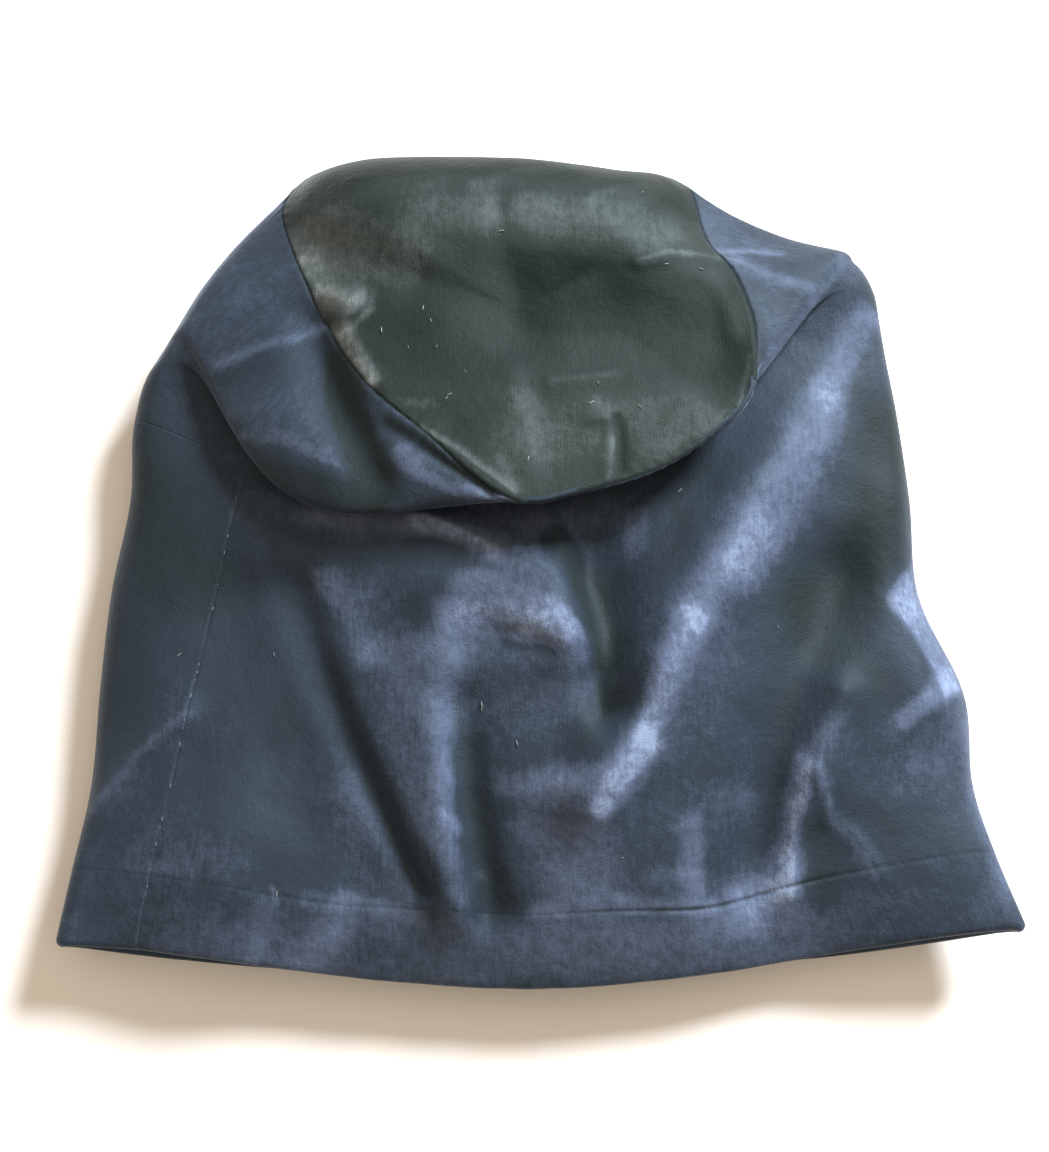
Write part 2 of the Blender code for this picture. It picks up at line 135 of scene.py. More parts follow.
OVER_COLUMNS, UNDER_COLUMNS = 280, 60
SIDE_ROWS = 13  # rows between each of the two sections of the crown's side
SEAM_CROWDING = 1.8  # how much closer together they lie at the crown seam


def section_ring(section, across, upper):
    """Points of one cross-section, for places across it from -1 at the left side fold to 1 at the right one."""
    left, right = np.array(section.left), np.array(section.right)
    ring = left + (right - left) * (across[:, None] + 1) / 2
    level = (left + right) / 2
    out = np.abs(across)
    reach, sweep = np.where(across < 0, *section.reach), np.where(across < 0, *section.sweep)
    bend = np.clip(1 - (out / reach) ** sweep, 0, 1)
    lean = np.where(upper, bend**BEND_EASE, 1 - out**2)
    ring[:, 1] += (np.where(upper, section.over[0], section.under[0]) - level[1]) * lean
    inward = np.minimum((1 - out) * (right[0] - left[0]) / 2 / section.fold, 1)
    turn = section.fold * np.sqrt(1 - (1 - inward) ** 2)
    rise = (section.over[1] - level[2] - section.fold) * (1 - out**section.full) ** ARCH_EASE
    fall = (level[2] - section.under[1] - section.fold) * (1 - out**UNDER_FULL) ** ARCH_EASE
    ring[:, 2] += np.where(upper, turn + rise, -turn - fall)
    return ring * MM


def spline(knots, points, places):
    """Catmull-Rom curve through the points at the given knots, read at places; points may be whole rings."""
    knots, points = np.asarray(knots, float), np.asarray(points, float)
    slopes = np.empty_like(points)
    wide = (knots[2:] - knots[:-2]).reshape((-1,) + (1,) * (points.ndim - 1))
    slopes[1:-1] = (points[2:] - points[:-2]) / wide
    slopes[0] = (points[1] - points[0]) / (knots[1] - knots[0])
    slopes[-1] = (points[-1] - points[-2]) / (knots[-1] - knots[-2])
    index = np.clip(np.searchsorted(knots, places, side="right") - 1, 0, len(knots) - 2)
    step = knots[index + 1] - knots[index]
    s = (np.asarray(places) - knots[index]) / step
    shape = (-1,) + (1,) * (points.ndim - 1)
    s, step = s.reshape(shape), step.reshape(shape)
    return (
        (2 * s**3 - 3 * s**2 + 1) * points[index]
        + (s**3 - 2 * s**2 + s) * step * slopes[index]
        + (3 * s**2 - 2 * s**3) * points[index + 1]
        + (s**3 - s**2) * step * slopes[index + 1]
    )


def seam_line(turns):
    """The crown seam and its puff at the given shares of a turn round the tube."""
    rows = np.array([row for _, *row in CROWN_SEAM])
    whole_turn = np.array((1, 0, 0, 0, 0))
    rows = np.concatenate((rows[-SEAM_OVERLAP:] - whole_turn, rows, rows[:SEAM_OVERLAP] + whole_turn))
    line = spline(rows[:, 0], rows[:, 1:], turns) * MM
    return line[:, :3], line[:, 3:]


def fold_heights(x, y, folds, unit=MM):
    """The sum of all folds at places seen from above. unit is that of their heights."""
    x, y = x / MM, y / MM
    total = np.zeros_like(x)
    f = np.linspace(0, 1, PATH_STEPS + 1)[:, None]
    for fold in (Fold(*row) for row in folds):
        start, bend, end = np.array(fold.start), np.array(fold.bend), np.array(fold.end)
        path = (1 - f) ** 2 * start + 2 * f * (1 - f) * bend + f**2 * end
        reach = FOLD_REACH * max(fold.near, fold.wide) * max(fold.taper, 1)
        low, high = path.min(axis=0) - reach, path.max(axis=0) + reach
        close = (x > low[0]) & (x < high[0]) & (y > low[1]) & (y < high[1])
        run = np.diff(path, axis=0)
        length = np.linalg.norm(run, axis=1)
        run_x, run_y = (run / length[:, None]).T
        off_x, off_y = x[close][:, None] - path[:-1, 0], y[close][:, None] - path[:-1, 1]
        ahead = off_x * run_x + off_y * run_y
        aside = off_y * run_x - off_x * run_y
        beyond = ahead - np.clip(ahead, 0, length)
        nearest = (aside**2 + beyond**2).argmin(axis=1)[:, None]
        aside = np.take_along_axis(aside, nearest, 1)[:, 0]
        beyond = np.take_along_axis(beyond, nearest, 1)[:, 0]
        done = np.clip(np.take_along_axis(ahead / length, nearest, 1), 0, 1)
        narrowing = 1 + (fold.taper - 1) * (nearest + done)[:, 0] / PATH_STEPS
        width = np.where(aside > 0, fold.near, fold.wide) * narrowing
        end_width = (fold.near + fold.wide) / 2 * narrowing
        steep = -(np.abs(aside / width) ** fold.edge) - np.abs(beyond / end_width) ** fold.edge
        total[close] += fold.height * np.exp(steep)
    return total * unit


def places_across(turns):
    """Places across the tube from -1 at the left side fold to 1 at the right one, and which are on top."""
    turns = turns % 1
    upper = turns < 0.5
    bearing = np.where(upper, 1 - 4 * turns, 4 * turns - 3)
    spread = np.where(upper, OVER_SPREAD, UNDER_SPREAD)
    return spread * bearing + (1 - spread) * np.sin(bearing * np.pi / 2), upper


def smooth_step(low, high, value):
    """A soft rise from 0 at low to 1 at high."""
    share = np.clip((value - low) / (high - low), 0, 1)
    return share * share * (3 - 2 * share)


def tube_rings(turns):
    """The tube's cross-sections from the hem to the crown seam, and their places along it."""
    across, upper = places_across(turns)
    rings = [section_ring(section, across, upper) for section in SECTIONS]
    seam, puff = seam_line(turns % 1)
    outward = seam - CROWN_MIDDLE
    outward[:, 2] = 0
    outward /= np.linalg.norm(outward, axis=1)[:, None]
    nose = rings[-1]
    for share in np.linspace(0, 1, SIDE_RINGS + 2)[1:-1]:
        roll = SIDE_ROLL * np.sin(np.pi * share) * np.sin(2 * np.pi * turns)
        shares = np.stack((share - roll, share - roll, share + roll), axis=1)
        rings.append(nose + (seam - nose) * shares + outward * puff)
    rings.append(seam)
    rings = np.array(rings)
    steps = np.linalg.norm(np.diff(rings, axis=0), axis=2).mean(axis=1)
    return rings, np.concatenate(([0], np.cumsum(np.sqrt(steps))))


def row_places(knots):
    """Places along the tube for its rows, closer together where it turns at the crown seam."""
    rows = [section.rows for section in SECTIONS] + [SIDE_ROWS] * (SIDE_RINGS + 1)
    places = [np.linspace(knots[k], knots[k + 1], rows[k], endpoint=False) for k in range(len(knots) - 1)]
    crowded = np.linspace(1, 0, rows[-1], endpoint=False) ** SEAM_CROWDING
    places[-1] = knots[-1] - (knots[-1] - knots[-2]) * crowded
    return np.concatenate(places + [[knots[-1]]])


def grid_normals(surface):
    """Outward normals of rows of rings."""
    along = np.gradient(surface, axis=0)
    around = np.roll(surface, -1, axis=1) - np.roll(surface, 1, axis=1)
    normal = np.cross(along, around)
    return normal / np.linalg.norm(normal, axis=2)[..., None]


def waves(surface, sizes):
    """Small uneven waves of the cloth at each point of a surface. sizes gives the waves' sizes and heights."""
    total = np.zeros(surface.shape[:2])
    for index in np.ndindex(total.shape):
        place = Vector(surface[index])
        total[index] = sum(height * noise.noise(place / size) for size, height in sizes)
    return total


def add_object(name, data):
    """A new object in the scene."""
    item = bpy.data.objects.new(name, data)
    bpy.context.collection.objects.link(item)
    return item


def wall_mesh(name, outer, inner, closed_end, attributes, cloth_map=None):
    """A closed wall between two stacks of rings, whose first ring is a rim. The last ring is a rim as well, or
    closes in a middle point on each side. The inner stack keeps every other ring and point, and attributes are
    given for the outer points. The UV map is the flat cloth in metres, or else it runs round and along."""
    rows, count = outer.shape[:2]
    round_it = 0
    if cloth_map is None:
        girth = np.linalg.norm(np.roll(outer, -1, axis=1) - outer, axis=2).max(axis=0)
        lengths = np.linalg.norm(np.diff(outer, axis=0), axis=2).mean(axis=1)
        cloth_map = np.stack(np.meshgrid(np.cumsum(girth) - girth, np.append(0, np.cumsum(lengths))), axis=2)
        round_it = girth.sum()

    def both(values):
        """Values of the outer stack, of the kept places of the inner one, and of the two middle points."""
        width = values.shape[2:]
        parts = [values.reshape((-1,) + width), values[::2, ::2].reshape((-1,) + width)]
        return np.concatenate(parts + [np.repeat(values[-1:].mean(axis=1), 2, axis=0)] * closed_end)

    points = [outer.reshape(-1, 3), inner[::2, ::2].reshape(-1, 3)]
    if closed_end:
        points += [outer[-1:].mean(axis=1), inner[-1:].mean(axis=1)]
    points = np.concatenate(points)
    grid = np.arange(rows * count).reshape(rows, count)
    back = rows * count + np.arange((rows + 1) // 2 * (count // 2)).reshape(-1, count // 2)
    faces = []
    for part, order in ((grid, 1), (back, -1)):
        after = np.roll(part, -1, axis=1)
        quads = np.stack((part[:-1], part[1:], after[1:], after[:-1]), axis=2)
        faces += quads.reshape(-1, 4)[:, ::order].tolist()
    first, second, third = grid[:, ::2], grid[:, 1::2], np.roll(grid, -2, axis=1)[:, ::2]
    behind = np.roll(back, -1, axis=1)
    faces += np.stack((third[0], behind[0], back[0], first[0], second[0]), axis=1).tolist()
    if closed_end:
        pole = np.full(count, len(points) - 2)
        faces += np.stack((grid[-1], pole, np.roll(grid[-1], -1)), axis=1).tolist()
        faces += np.stack((back[-1], behind[-1], pole[: count // 2] + 1), axis=1).tolist()
    else:
        faces += np.stack((third[-1], second[-1], first[-1], back[-1], behind[-1]), axis=1).tolist()
    mesh = bpy.data.meshes.new(name)
    mesh.from_pydata(points.tolist(), [], faces)
    mesh.shade_smooth()
    for label, values in attributes.items():
        mesh.attributes.new(label, "FLOAT", "POINT").data.foreach_set("value", both(values).astype(np.float32))
    corners = np.empty(len(mesh.loops), dtype=int)
    mesh.loops.foreach_get("vertex_index", corners)
    sizes = np.empty(len(mesh.polygons), dtype=int)
    mesh.polygons.foreach_get("loop_total", sizes)
    owner = np.repeat(np.arange(len(sizes)), sizes)
    column = both(np.tile(np.arange(float(count)), (rows, 1)))[corners]
    wraps = (np.bincount(owner, column == 0) > 0) & (np.bincount(owner, column >= count - 2) > 0)
    uv = both(cloth_map)[corners]
    uv[:, 0] += round_it * (wraps[owner] & (column == 0))
    mesh.uv_layers.new(name="cloth").data.foreach_set("uv", uv.astype(np.float32).ravel())
    return add_object(name, mesh)


over_turns = np.linspace(0, 0.5, OVER_COLUMNS, endpoint=False)
turns = np.concatenate((over_turns, np.linspace(0.5, 1, UNDER_COLUMNS, endpoint=False)))
rings, knots = tube_rings(turns)
places = row_places(knots)
knot = {section.name: place for section, place in zip(SECTIONS, knots)}
tube = spline(knots, rings, places)
across, upper = places_across(turns)
on_body = 1 - smooth_step(knot["chest"], knot["tuck floor"], places)[:, None]
on_crown = smooth_step(knot["lip underside"], knots[len(SECTIONS)], places)[:, None]
inboard = np.where(upper, 1 - np.abs(across) ** FOLD_FADE, 0)
tube_x, tube_y = tube[..., 0].copy(), tube[..., 1].copy()
lift = fold_heights(tube_x, tube_y, BODY_FOLDS) * on_body + fold_heights(tube_x, tube_y, CROWN_FOLDS) * on_crown
tube[..., 2] = np.maximum(tube[..., 2] + lift * inboard, 0)

# Smaller folds than those of the solid, in the same form.
SMALL_BODY_FOLDS = (
    ("tongue", (-18, -14), (-2, -19), (8, -27), 10, 7, 2.2),
    ("hook groove", (-11, -26), (-4, -25), (4, -31), 2, 3, -1),
    ("flat left of valley", (-88, -16), (-72, -56), (-48, -96), 10, 20, -3),
    ("hem nick", (-18, -95), (-19, -101), (-24, -107), 2, 3, 1.4),
    ("long ridge crest", (60, 4), (42, -20), (20, -68), 5, 6, 1.4, 0.9),
    ("right crease crest", (86.5, -42), (74, -67), (70.8, -98), 2, 4, 1.2, 0.9),
    ("right branch", (78.5, -64), (81.5, -71), (82, -78), 2, 3, 1),
    ("right short crease", (86.5, -80), (92.5, -86), (96.5, -93), 2, 4, 1),
    ("left crease", (-102, -47), (-117, -55), (-131, -74), 3, 3, 0.8),
)
SMALL_CROWN_FOLDS = (
    ("side crease", (-96, 55), (-80, 61), (-64, 65), 2, 4, 1.2),
    ("right facet crease", (58, 87), (66, 80), (82, 77), 3, 3, 1),
    ("sliver crease", (-44, 31), (-30, 22), (-14, 11), 2, 2, -1.2),
)
WAVES = ((0.030, 0.0012), (0.014, 0.0005), (0.007, 0.00018))  # size and height
small = fold_heights(tube_x, tube_y, SMALL_BODY_FOLDS) * on_body
small += fold_heights(tube_x, tube_y, SMALL_CROWN_FOLDS) * on_crown
small += waves(tube, WAVES) * (1 - smooth_step(knot["lip nose"], knots[-1], places)[:, None])
tube[..., 2] = np.maximum(tube[..., 2] + small * inboard, 0)
tube -= CAP_MIDDLE

# Both sides of the crown seam swell a little beside it, unevenly, where the stitches draw the cloth together.
SWELL_HEIGHT, SWELL_START, SWELL_REACH = 0.0005, 0.0006, 0.0035
PUCKER_PITCH, PUCKER_SHARE = 0.0042, 0.45
PUCKER_BEATS, PUCKER_STEADY = 5, 0.6  # how often the puckers grow and shrink on one round, and what stays


def seam_swell(seam, away):
    """How high the cloth swells at each distance from the closed seam line."""
    step = np.linalg.norm(np.roll(seam, -1, axis=0) - seam, axis=1)
    turns_done = np.round(step.sum() / PUCKER_PITCH)
    phase = 2 * np.pi * turns_done * (np.cumsum(step) - step) / step.sum()
    beat = PUCKER_STEADY + (1 - PUCKER_STEADY) * np.sin(phase * PUCKER_BEATS / turns_done)
    pucker = 1 + PUCKER_SHARE * np.sin(phase) * beat
    return SWELL_HEIGHT * pucker * (1 - np.exp(-((away / SWELL_START) ** 2))) * np.exp(-away / SWELL_REACH)


length = np.linalg.norm(np.diff(tube, axis=0), axis=2)
from_crown_seam = np.concatenate((length[::-1].cumsum(axis=0)[::-1], np.zeros((1, len(turns)))))
tube += grid_normals(tube) * seam_swell(tube[-1], from_crown_seam)[..., None]

# How far each place lies from the two lines of stitches, along the cloth. The hem's line sags in three
# places, and the lengthwise seam leans to the right on its way to the crown.
SAGS = ((0.046, 0.022, 0.0032), (0.000, 0.020, 0.0012), (-0.060, 0.020, 0.0008))  # middle, half width and drop
SEAM_X, SEAM_LEAN = -0.0935, 0.195  # its x where y is 0, and how far it leans for each metre of y
FAR_AWAY = 0.05  # stands for the distance of a line that isn't there
length = np.concatenate((np.zeros((1, len(turns))), np.cumsum(length, axis=0)))
hem_length = np.array([np.interp(knots[1], places, length[:, column]) for column in range(len(turns))])
from_hem_line = length - hem_length
for middle_x, half_width, sag in SAGS:
    from_hem_line = from_hem_line + sag * np.exp(-(((tube_x - middle_x) / half_width) ** 2)) * upper
from_seam = np.where(upper, tube_x - SEAM_X - SEAM_LEAN * tube_y, FAR_AWAY) + (1 - on_body) * FAR_AWAY

# Painted light on the tube: strokes of painted highlight where the folds catch the light and painted shade where
# they lie in shade, with some patches where the pile lies over and looks paler or stands up and looks darker.
# Each is a stroke in the form of a fold, whose height is how much paler it is.
BODY_PAINTED_LIGHT_AND_NAP = (
    # under the lip
    ("shade under lip, left", (-124, 34), (-114, 12), (-102, -4), 14, 18, -0.34, 0.9, 3),
    ("in the shade under the lip", (-62, 6), (-20, 3), (24, 3), 9, 9, 0.26, 1, 3),
    ("pocket left of hook", (-74, 1), (-50, 1), (-26, -3), 6, 6, -0.2, 0.8, 5),
    ("under pocket", (-62, -10), (-46, -14), (-30, -18), 4, 8, 0.06, 1, 4),
    # left side
    ("left side, dark", (-124, 20), (-126, -10), (-126, -44), 12, 10, -0.14, 1, 3),
    ("left, soft", (-100, -20), (-104, -34), (-108, -46), 7, 7, 0.02),
    ("left seam, high dark", (-108, -10), (-112, -26), (-116, -40), 7, 7, -0.05),
    ("left corner, dark", (-128, -20), (-130, -50), (-132, -66), 6, 6, -0.06),
    ("left crease", (-102, -47), (-117, -55), (-131, -74), 2.2, 1.4, 0.18, 0.9),
    ("left of valley", (-92, -20), (-84, -36), (-70, -56), 12, 12, -0.12, 0.9),
    ("left valley, top", (-86, -6), (-78, -10), (-70, -16), 6, 6, -0.04),
    ("left valley", (-69, -16), (-55, -53), (-33.5, -94), 6.2, 7, -0.08, 0.36, 5),
    ("right of valley, top", (-62, -8), (-55, -18), (-50, -30), 5, 4, 0.16, 1, 3),
    ("left low, right part", (-90, -70), (-80, -78), (-68, -88), 12, 12, -0.08),
    ("low left of valley", (-54, -70), (-47, -86), (-38, -103), 3, 10, 0.12, 0.8),
    # hook and deep hollow
    ("hook, thin top, left", (-64, 10.5), (-46, 11), (-32, 7.5), 1.6, 3, 0.1, 1, 3),
    ("hook, thin top", (-36, 8), (-26, 5.5), (-14, -1.5), 1.4, 4, 0.5, 1, 3),
    ("across waist, dark", (-34, 0), (-20, -2), (4, -4), 5, 2, -0.1),
    ("hook, left", (-22, -4), (-26, -12), (-34, -20), 6, 6, -0.14, 0.9, 3),
    ("hook, fill", (-20, -12), (-4, -14.5), (6, -23.5), 4.5, 10, 0.3, 0.8, 4),
    ("hook, inner", (-26, -20), (-14, -19), (-4, -22.5), 4, 6, 0.36, 1, 3),
    ("hook, edge", (-16, -4.5), (0, -5), (12, -26), 0.8, 4, 0.12),
    ("hook, tip", (3, -22), (8, -25), (10.5, -30), 4.5, 6.5, 0.3, 0.9, 4),
    ("hook, dent", (-11, -27.5), (-4, -27.5), (3, -32), 1.4, 2, -0.3, 0.8),
    ("deep hollow", (18, 2), (21, -16), (19.5, -45), 6, 5.5, -0.26, 0.8, 4),
    ("deep hollow, edge", (4, 1), (14, -9), (17.2, -32), 5, 3.6, -0.55, 1, 3),
    ("hollow, foot dark", (18, -44), (16, -50), (12, -55), 5, 4, -0.36),
    # middle
    ("across waist", (-48, -30), (-30, -27), (-6, -31), 5, 5, 0.14, 1, 3),
    ("middle ridge", (-24.5, -36), (-29.5, -58), (-24, -86), 2.6, 11, 0.24, 0.6, 3),
    ("middle ridge, core", (-27.5, -42), (-27.5, -54), (-26, -68), 3, 4, 0.08, 1, 3),
    ("middle ridge, left", (-40, -38), (-40, -62), (-32, -84), 5, 6, 0.14, 0.7),
    ("middle ridge, spot", (-28, -76.5), (-25, -77.5), (-23, -80), 2, 2, 0.24),
    ("middle ridge, low left", (-31, -74), (-28.5, -88), (-24, -102), 3.5, 3.5, 0.03),
    ("middle ridge, end", (-23, -92), (-22.2, -100), (-26.5, -108), 3, 4, 0.1),
    ("middle valley", (-19.8, -57), (-19.8, -78), (-13, -101), 3.4, 3.2, -0.3, 1.7, 4),
    ("belly", (-14, -46), (4, -48), (16, -44), 10, 12, 0.06, 1, 3),
    # long ridge
    ("long ridge, top", (99, 74), (91, 62), (85, 48), 5, 5, 0.34, 1, 3),
    ("long ridge, high", (86, 44), (72, 20), (58, -4), 9, 8, 0.36, 1, 3),
    ("long ridge, middle", (60, 0), (50, -9), (44, -20), 8, 9, 0.3, 0.7, 3),
    ("long ridge, low", (41.5, -24), (34.8, -40), (29, -54), 5.8, 5.4, 0.56, 0.75, 3),
    ("long ridge, foot", (28, -59.5), (23.8, -65.5), (16.5, -74.5), 4.8, 7, 0.76, 0.6, 3),
    ("long ridge, toe", (16, -65), (4, -67), (-10, -68), 4, 4, 0.24, 0.9, 3),
    ("under toe, dark", (-14, -74.5), (0, -75.5), (12, -76.5), 2, 2, -0.1),
    ("below toe", (3, -78), (10, -86), (10, -95), 12, 11, 0.28, 1, 4),
    ("left of ridge, shade", (68, 46), (52, 22), (40, 0), 4, 8, -0.06, 0.8),
    ("left of ridge, high dark", (50, 22), (40, 12), (34, -4), 6, 8, -0.22, 1, 3),
    ("beside long ridge, low", (52, -24), (42, -40), (36, -56), 6, 5, 0.08),
    ("right of ridge, dark", (98, 26), (88, 4), (72, -20), 6, 8, -0.05),
    ("right of ridge, low dark", (76, -18), (72, -30), (66, -44), 8, 9, -0.1, 1, 3),
    # right side
    ("upper right corner", (95, 86), (98, 83), (101, 80), 3, 4, -0.3),
    ("right side, dark", (104, 40), (103, 12), (97, -8), 8, 14, -0.5, 1, 3),
    ("right middle, dark", (78, -14), (84, -26), (91, -36), 10, 12, -0.34, 1, 3),
    ("right valley", (72, -40), (67, -62), (66, -90), 4, 5, -0.16, 1.1, 3),
    ("left of right crease", (70, -72), (67, -84), (64, -97), 4, 5, 0.14),
    ("right crease, top", (90.5, -38), (87, -48), (77.5, -62), 3, 5, 0.2),
    ("right crease", (75.5, -62), (72.2, -78), (70.2, -99), 1.6, 3.6, 0.66, 1.1),
    ("right crease, branch", (78.5, -64), (81.5, -71), (82, -78), 2.2, 2, 0.24, 0.8),
    ("right crease, foot", (70, -90), (67, -95), (58, -99), 4, 5, 0.26),
    ("left of crease, low", (72, -92), (66, -99), (62, -104), 4, 6, 0.16),
    ("right of crease, dark", (78.5, -80), (81.5, -88), (78.5, -99), 5, 3, -0.34, 1.2, 3),
    ("right short crease", (84.5, -80), (90.5, -85), (95, -92), 1.4, 3, 0.16),
    ("right of short crease", (94, -74), (102, -82), (106, -92), 4, 3, -0.16),
    ("right low, dark", (104, -78), (114, -82), (126, -88), 6, 8, -0.16),
    ("right low patch", (43.5, -79), (45, -87), (44, -97), 2, 5.5, 0.28, 1, 3),
    ("right low patch, foot", (32, -92.5), (38, -92.5), (45, -92.5), 2, 2.5, 0.16),
    ("right low, soft", (46, -73), (54, -73), (64, -70), 5, 5, 0.1),
    ("rim, high", (114, 7), (109.5, -4), (103.5, -12.5), 10, 1.4, 0.26, 1.2, 4),
    ("rim, low", (103.5, -15.5), (113, -26.5), (116, -38), 12, 2.2, 0.5, 0.7, 3),
    ("rim, tail", (120, -38), (113, -41), (105, -49), 3, 4, 0.4, 0.8, 3),
    ("below rim, pale", (122, -44), (114, -58), (108, -62), 10, 8, 0.1),
    ("right edge, low", (128, -50), (131, -74), (132, -94), 7, 6, 0.34),
    # hem
    ("above hem, far left", (-110, -84), (-100, -86), (-88, -86), 6, 6, 0.05),
    ("above hem, left", (-116, -88), (-98, -90), (-84, -90), 5, 5, 0.08),
    ("above hem, right", (106, -86), (116, -89), (128, -90), 5, 4, 0.1),
    ("hem line, far left", (-112, -91), (-106, -91), (-100, -91), 3, 3, 0.12),
    ("hem line, far left spot", (-76, -96), (-75, -98), (-75, -100), 1, 1, 0.25),
    ("hem line, left", (-66, -99), (-52, -100), (-34, -105), 2, 2.8, 0.18, 1, 3),
    ("hem line, spot", (-3, -103.5), (0, -103.5), (5, -103.5), 1.5, 1.5, 0.24),
    ("hem line, right", (23.5, -100.5), (36, -102), (48, -102), 2.6, 2.6, 0.24, 1, 4),
    ("hem line, right end", (50, -99), (60, -98), (70, -96), 4, 4, 0.1, 1.2),
    ("hem, far left spot", (-79, -99), (-79, -108), (-82, -117), 3, 3, 0.12, 1.3),
    ("hem, left spot", (-56, -101), (-59, -109), (-68, -118), 5, 4, 0.26, 1.4, 3),
    ("hem, left of middle, dark", (-50, -112), (-40, -113), (-28, -112), 5, 5, -0.02),
    ("hem, middle", (-4, -113), (14, -112), (46, -111), 6, 8, 0.14, 1, 3),
    ("hem, right", (58, -107), (66, -106), (76, -102), 6, 5, 0.18, 1, 3),
    ("hem, right end", (82, -102), (104, -104), (130, -102), 10, 10, 0.02),
    ("hem, all", (-100, -112), (0, -120), (80, -110), 10, 10, 0.14, 1, 3),
)
# Painted highlights and painted shade on the crown's side and lip, with some of the pile's own patches, in the
# same form.
CROWN_PAINTED_LIGHT_AND_NAP = (
    ("left facet", (-94, 78), (-80, 76), (-70, 78), 14, 12, 0.02),
    ("left crease", (-96, 55), (-80, 61), (-64, 65), 3.4, 1, 0.18),
    ("left crease, shade", (-96, 51), (-80, 57), (-64, 61), 1, 3.4, -0.06),
    ("lip, left ridge", (-88, 32), (-72, 29), (-50, 16.5), 3.4, 0.8, 0.16, 0.8),
    ("lip front", (-93, 27), (-77, 19), (-48, 10.5), 5, 7, -0.38, 0.8, 5),
    ("valley at seam", (-58, 53), (-56, 30), (-46, 14), 6, 6, -0.6, 1, 5),
    ("under seam", (-44, 33.5), (-30, 25), (-14, 12), 1.4, 1.8, -0.5, 0.8, 3),
    ("sliver", (-40, 23), (-35, 15), (-12, 9.5), 2.8, 2.6, 0.34, 0.6, 3),
    ("far right facet", (50, 104), (56, 98), (62, 94), 6, 6, 0.1),
    ("far crease", (50, 90.5), (58, 91.5), (72, 90.5), 1.6, 1, 0.3),
    ("right facet", (58, 87), (65, 81), (80, 78), 3, 4, 0.26, 0.8),
    ("right facet, low", (66, 72), (68, 62), (67, 52), 4, 3, 0.04, 0.9),
    ("beside right seam", (62.5, 68), (64.5, 56), (61, 44), 1.6, 1.6, -0.2, 0.9),
    ("lip, right edge", (61, 46), (73, 60), (91.5, 89), 2.6, 2, 0.6, 0.8),
    ("lip, left end", (-108, 58), (-104, 46), (-98, 34), 6, 6, 0.16, 1, 3),
)
EDGE_WANDER, WANDER_SIZE = 0.0014, 0.010  # how far the strokes' edges wander, and over what length
wander_x = waves(tube, ((WANDER_SIZE, EDGE_WANDER),))
wander_y = waves(tube[..., ::-1], ((WANDER_SIZE, EDGE_WANDER),))
below_lip = 1 - smooth_step(knot["tuck end"], knot["lip underside"], places)[:, None]
# Painted highlights and painted shade from the strokes, with the pile's own patches, as one value on the tube.
nap = fold_heights(tube_x + wander_x, tube_y + wander_y, BODY_PAINTED_LIGHT_AND_NAP, 1) * below_lip
nap += fold_heights(tube_x + wander_x, tube_y + wander_y, CROWN_PAINTED_LIGHT_AND_NAP, 1) * on_crown
nap *= upper

# The tube's edge is the fold of its hem: the cloth turns round in half a circle to the hem's inner face.
HEM_GAP, FOLD_ROWS = 0.0004, 7
FOLD_CLOTH = 0.0009  # thickness of the cloth where it turns
EDGE_ROW = 1  # the row at which the cloth begins to turn
fold_radius = CLOTH + HEM_GAP / 2
tube_out = grid_normals(tube)
edge, edge_out = tube[EDGE_ROW], tube_out[EDGE_ROW]
onward = tube[EDGE_ROW] - tube[EDGE_ROW + 1]
onward /= np.linalg.norm(onward, axis=1)[:, None]
angles = np.linspace(np.pi, 0, FOLD_ROWS, endpoint=False)[:, None, None]
fold_out = edge_out * np.cos(angles) + onward * np.sin(angles)
tube_outer = np.concatenate((edge - edge_out * fold_radius + fold_out * fold_radius, tube[EDGE_ROW:]))
tube_inner = np.concatenate((edge - edge_out * fold_radius + fold_out * (fold_radius - FOLD_CLOTH),
                             tube[EDGE_ROW:] - tube_out[EDGE_ROW:] * CLOTH))

# How much each line shows: the hem's line is pressed in most at the right of the front, and the lengthwise
# seam shows in stretches.
HEM_LINE_FAINT, HEM_LINE_MIDDLE, HEM_LINE_REACH = 0.25, 0.052, 0.032
SEAM_FAINT, SEAM_STRETCH = 0.5, 0.026
pressed_in = np.exp(-(((tube_x - HEM_LINE_MIDDLE) / HEM_LINE_REACH) ** 4))
lines = {
    "from_hem_line": from_hem_line,
    "hem_line_shows": HEM_LINE_FAINT + (1 - HEM_LINE_FAINT) * pressed_in,
    "from_seam": from_seam,
    "seam_shows": SEAM_FAINT + (1 - SEAM_FAINT) * np.sin(tube_y * np.pi / SEAM_STRETCH) ** 2,
    "from_crown_seam": from_crown_seam,
    "crown_seam_shows": np.ones_like(from_crown_seam),
}


def with_fold(values):
    """Values of the tube's rows, with those of its edge for the rows of the fold."""
    return np.concatenate((np.repeat(values[EDGE_ROW : EDGE_ROW + 1], FOLD_ROWS, axis=0), values[EDGE_ROW:]))


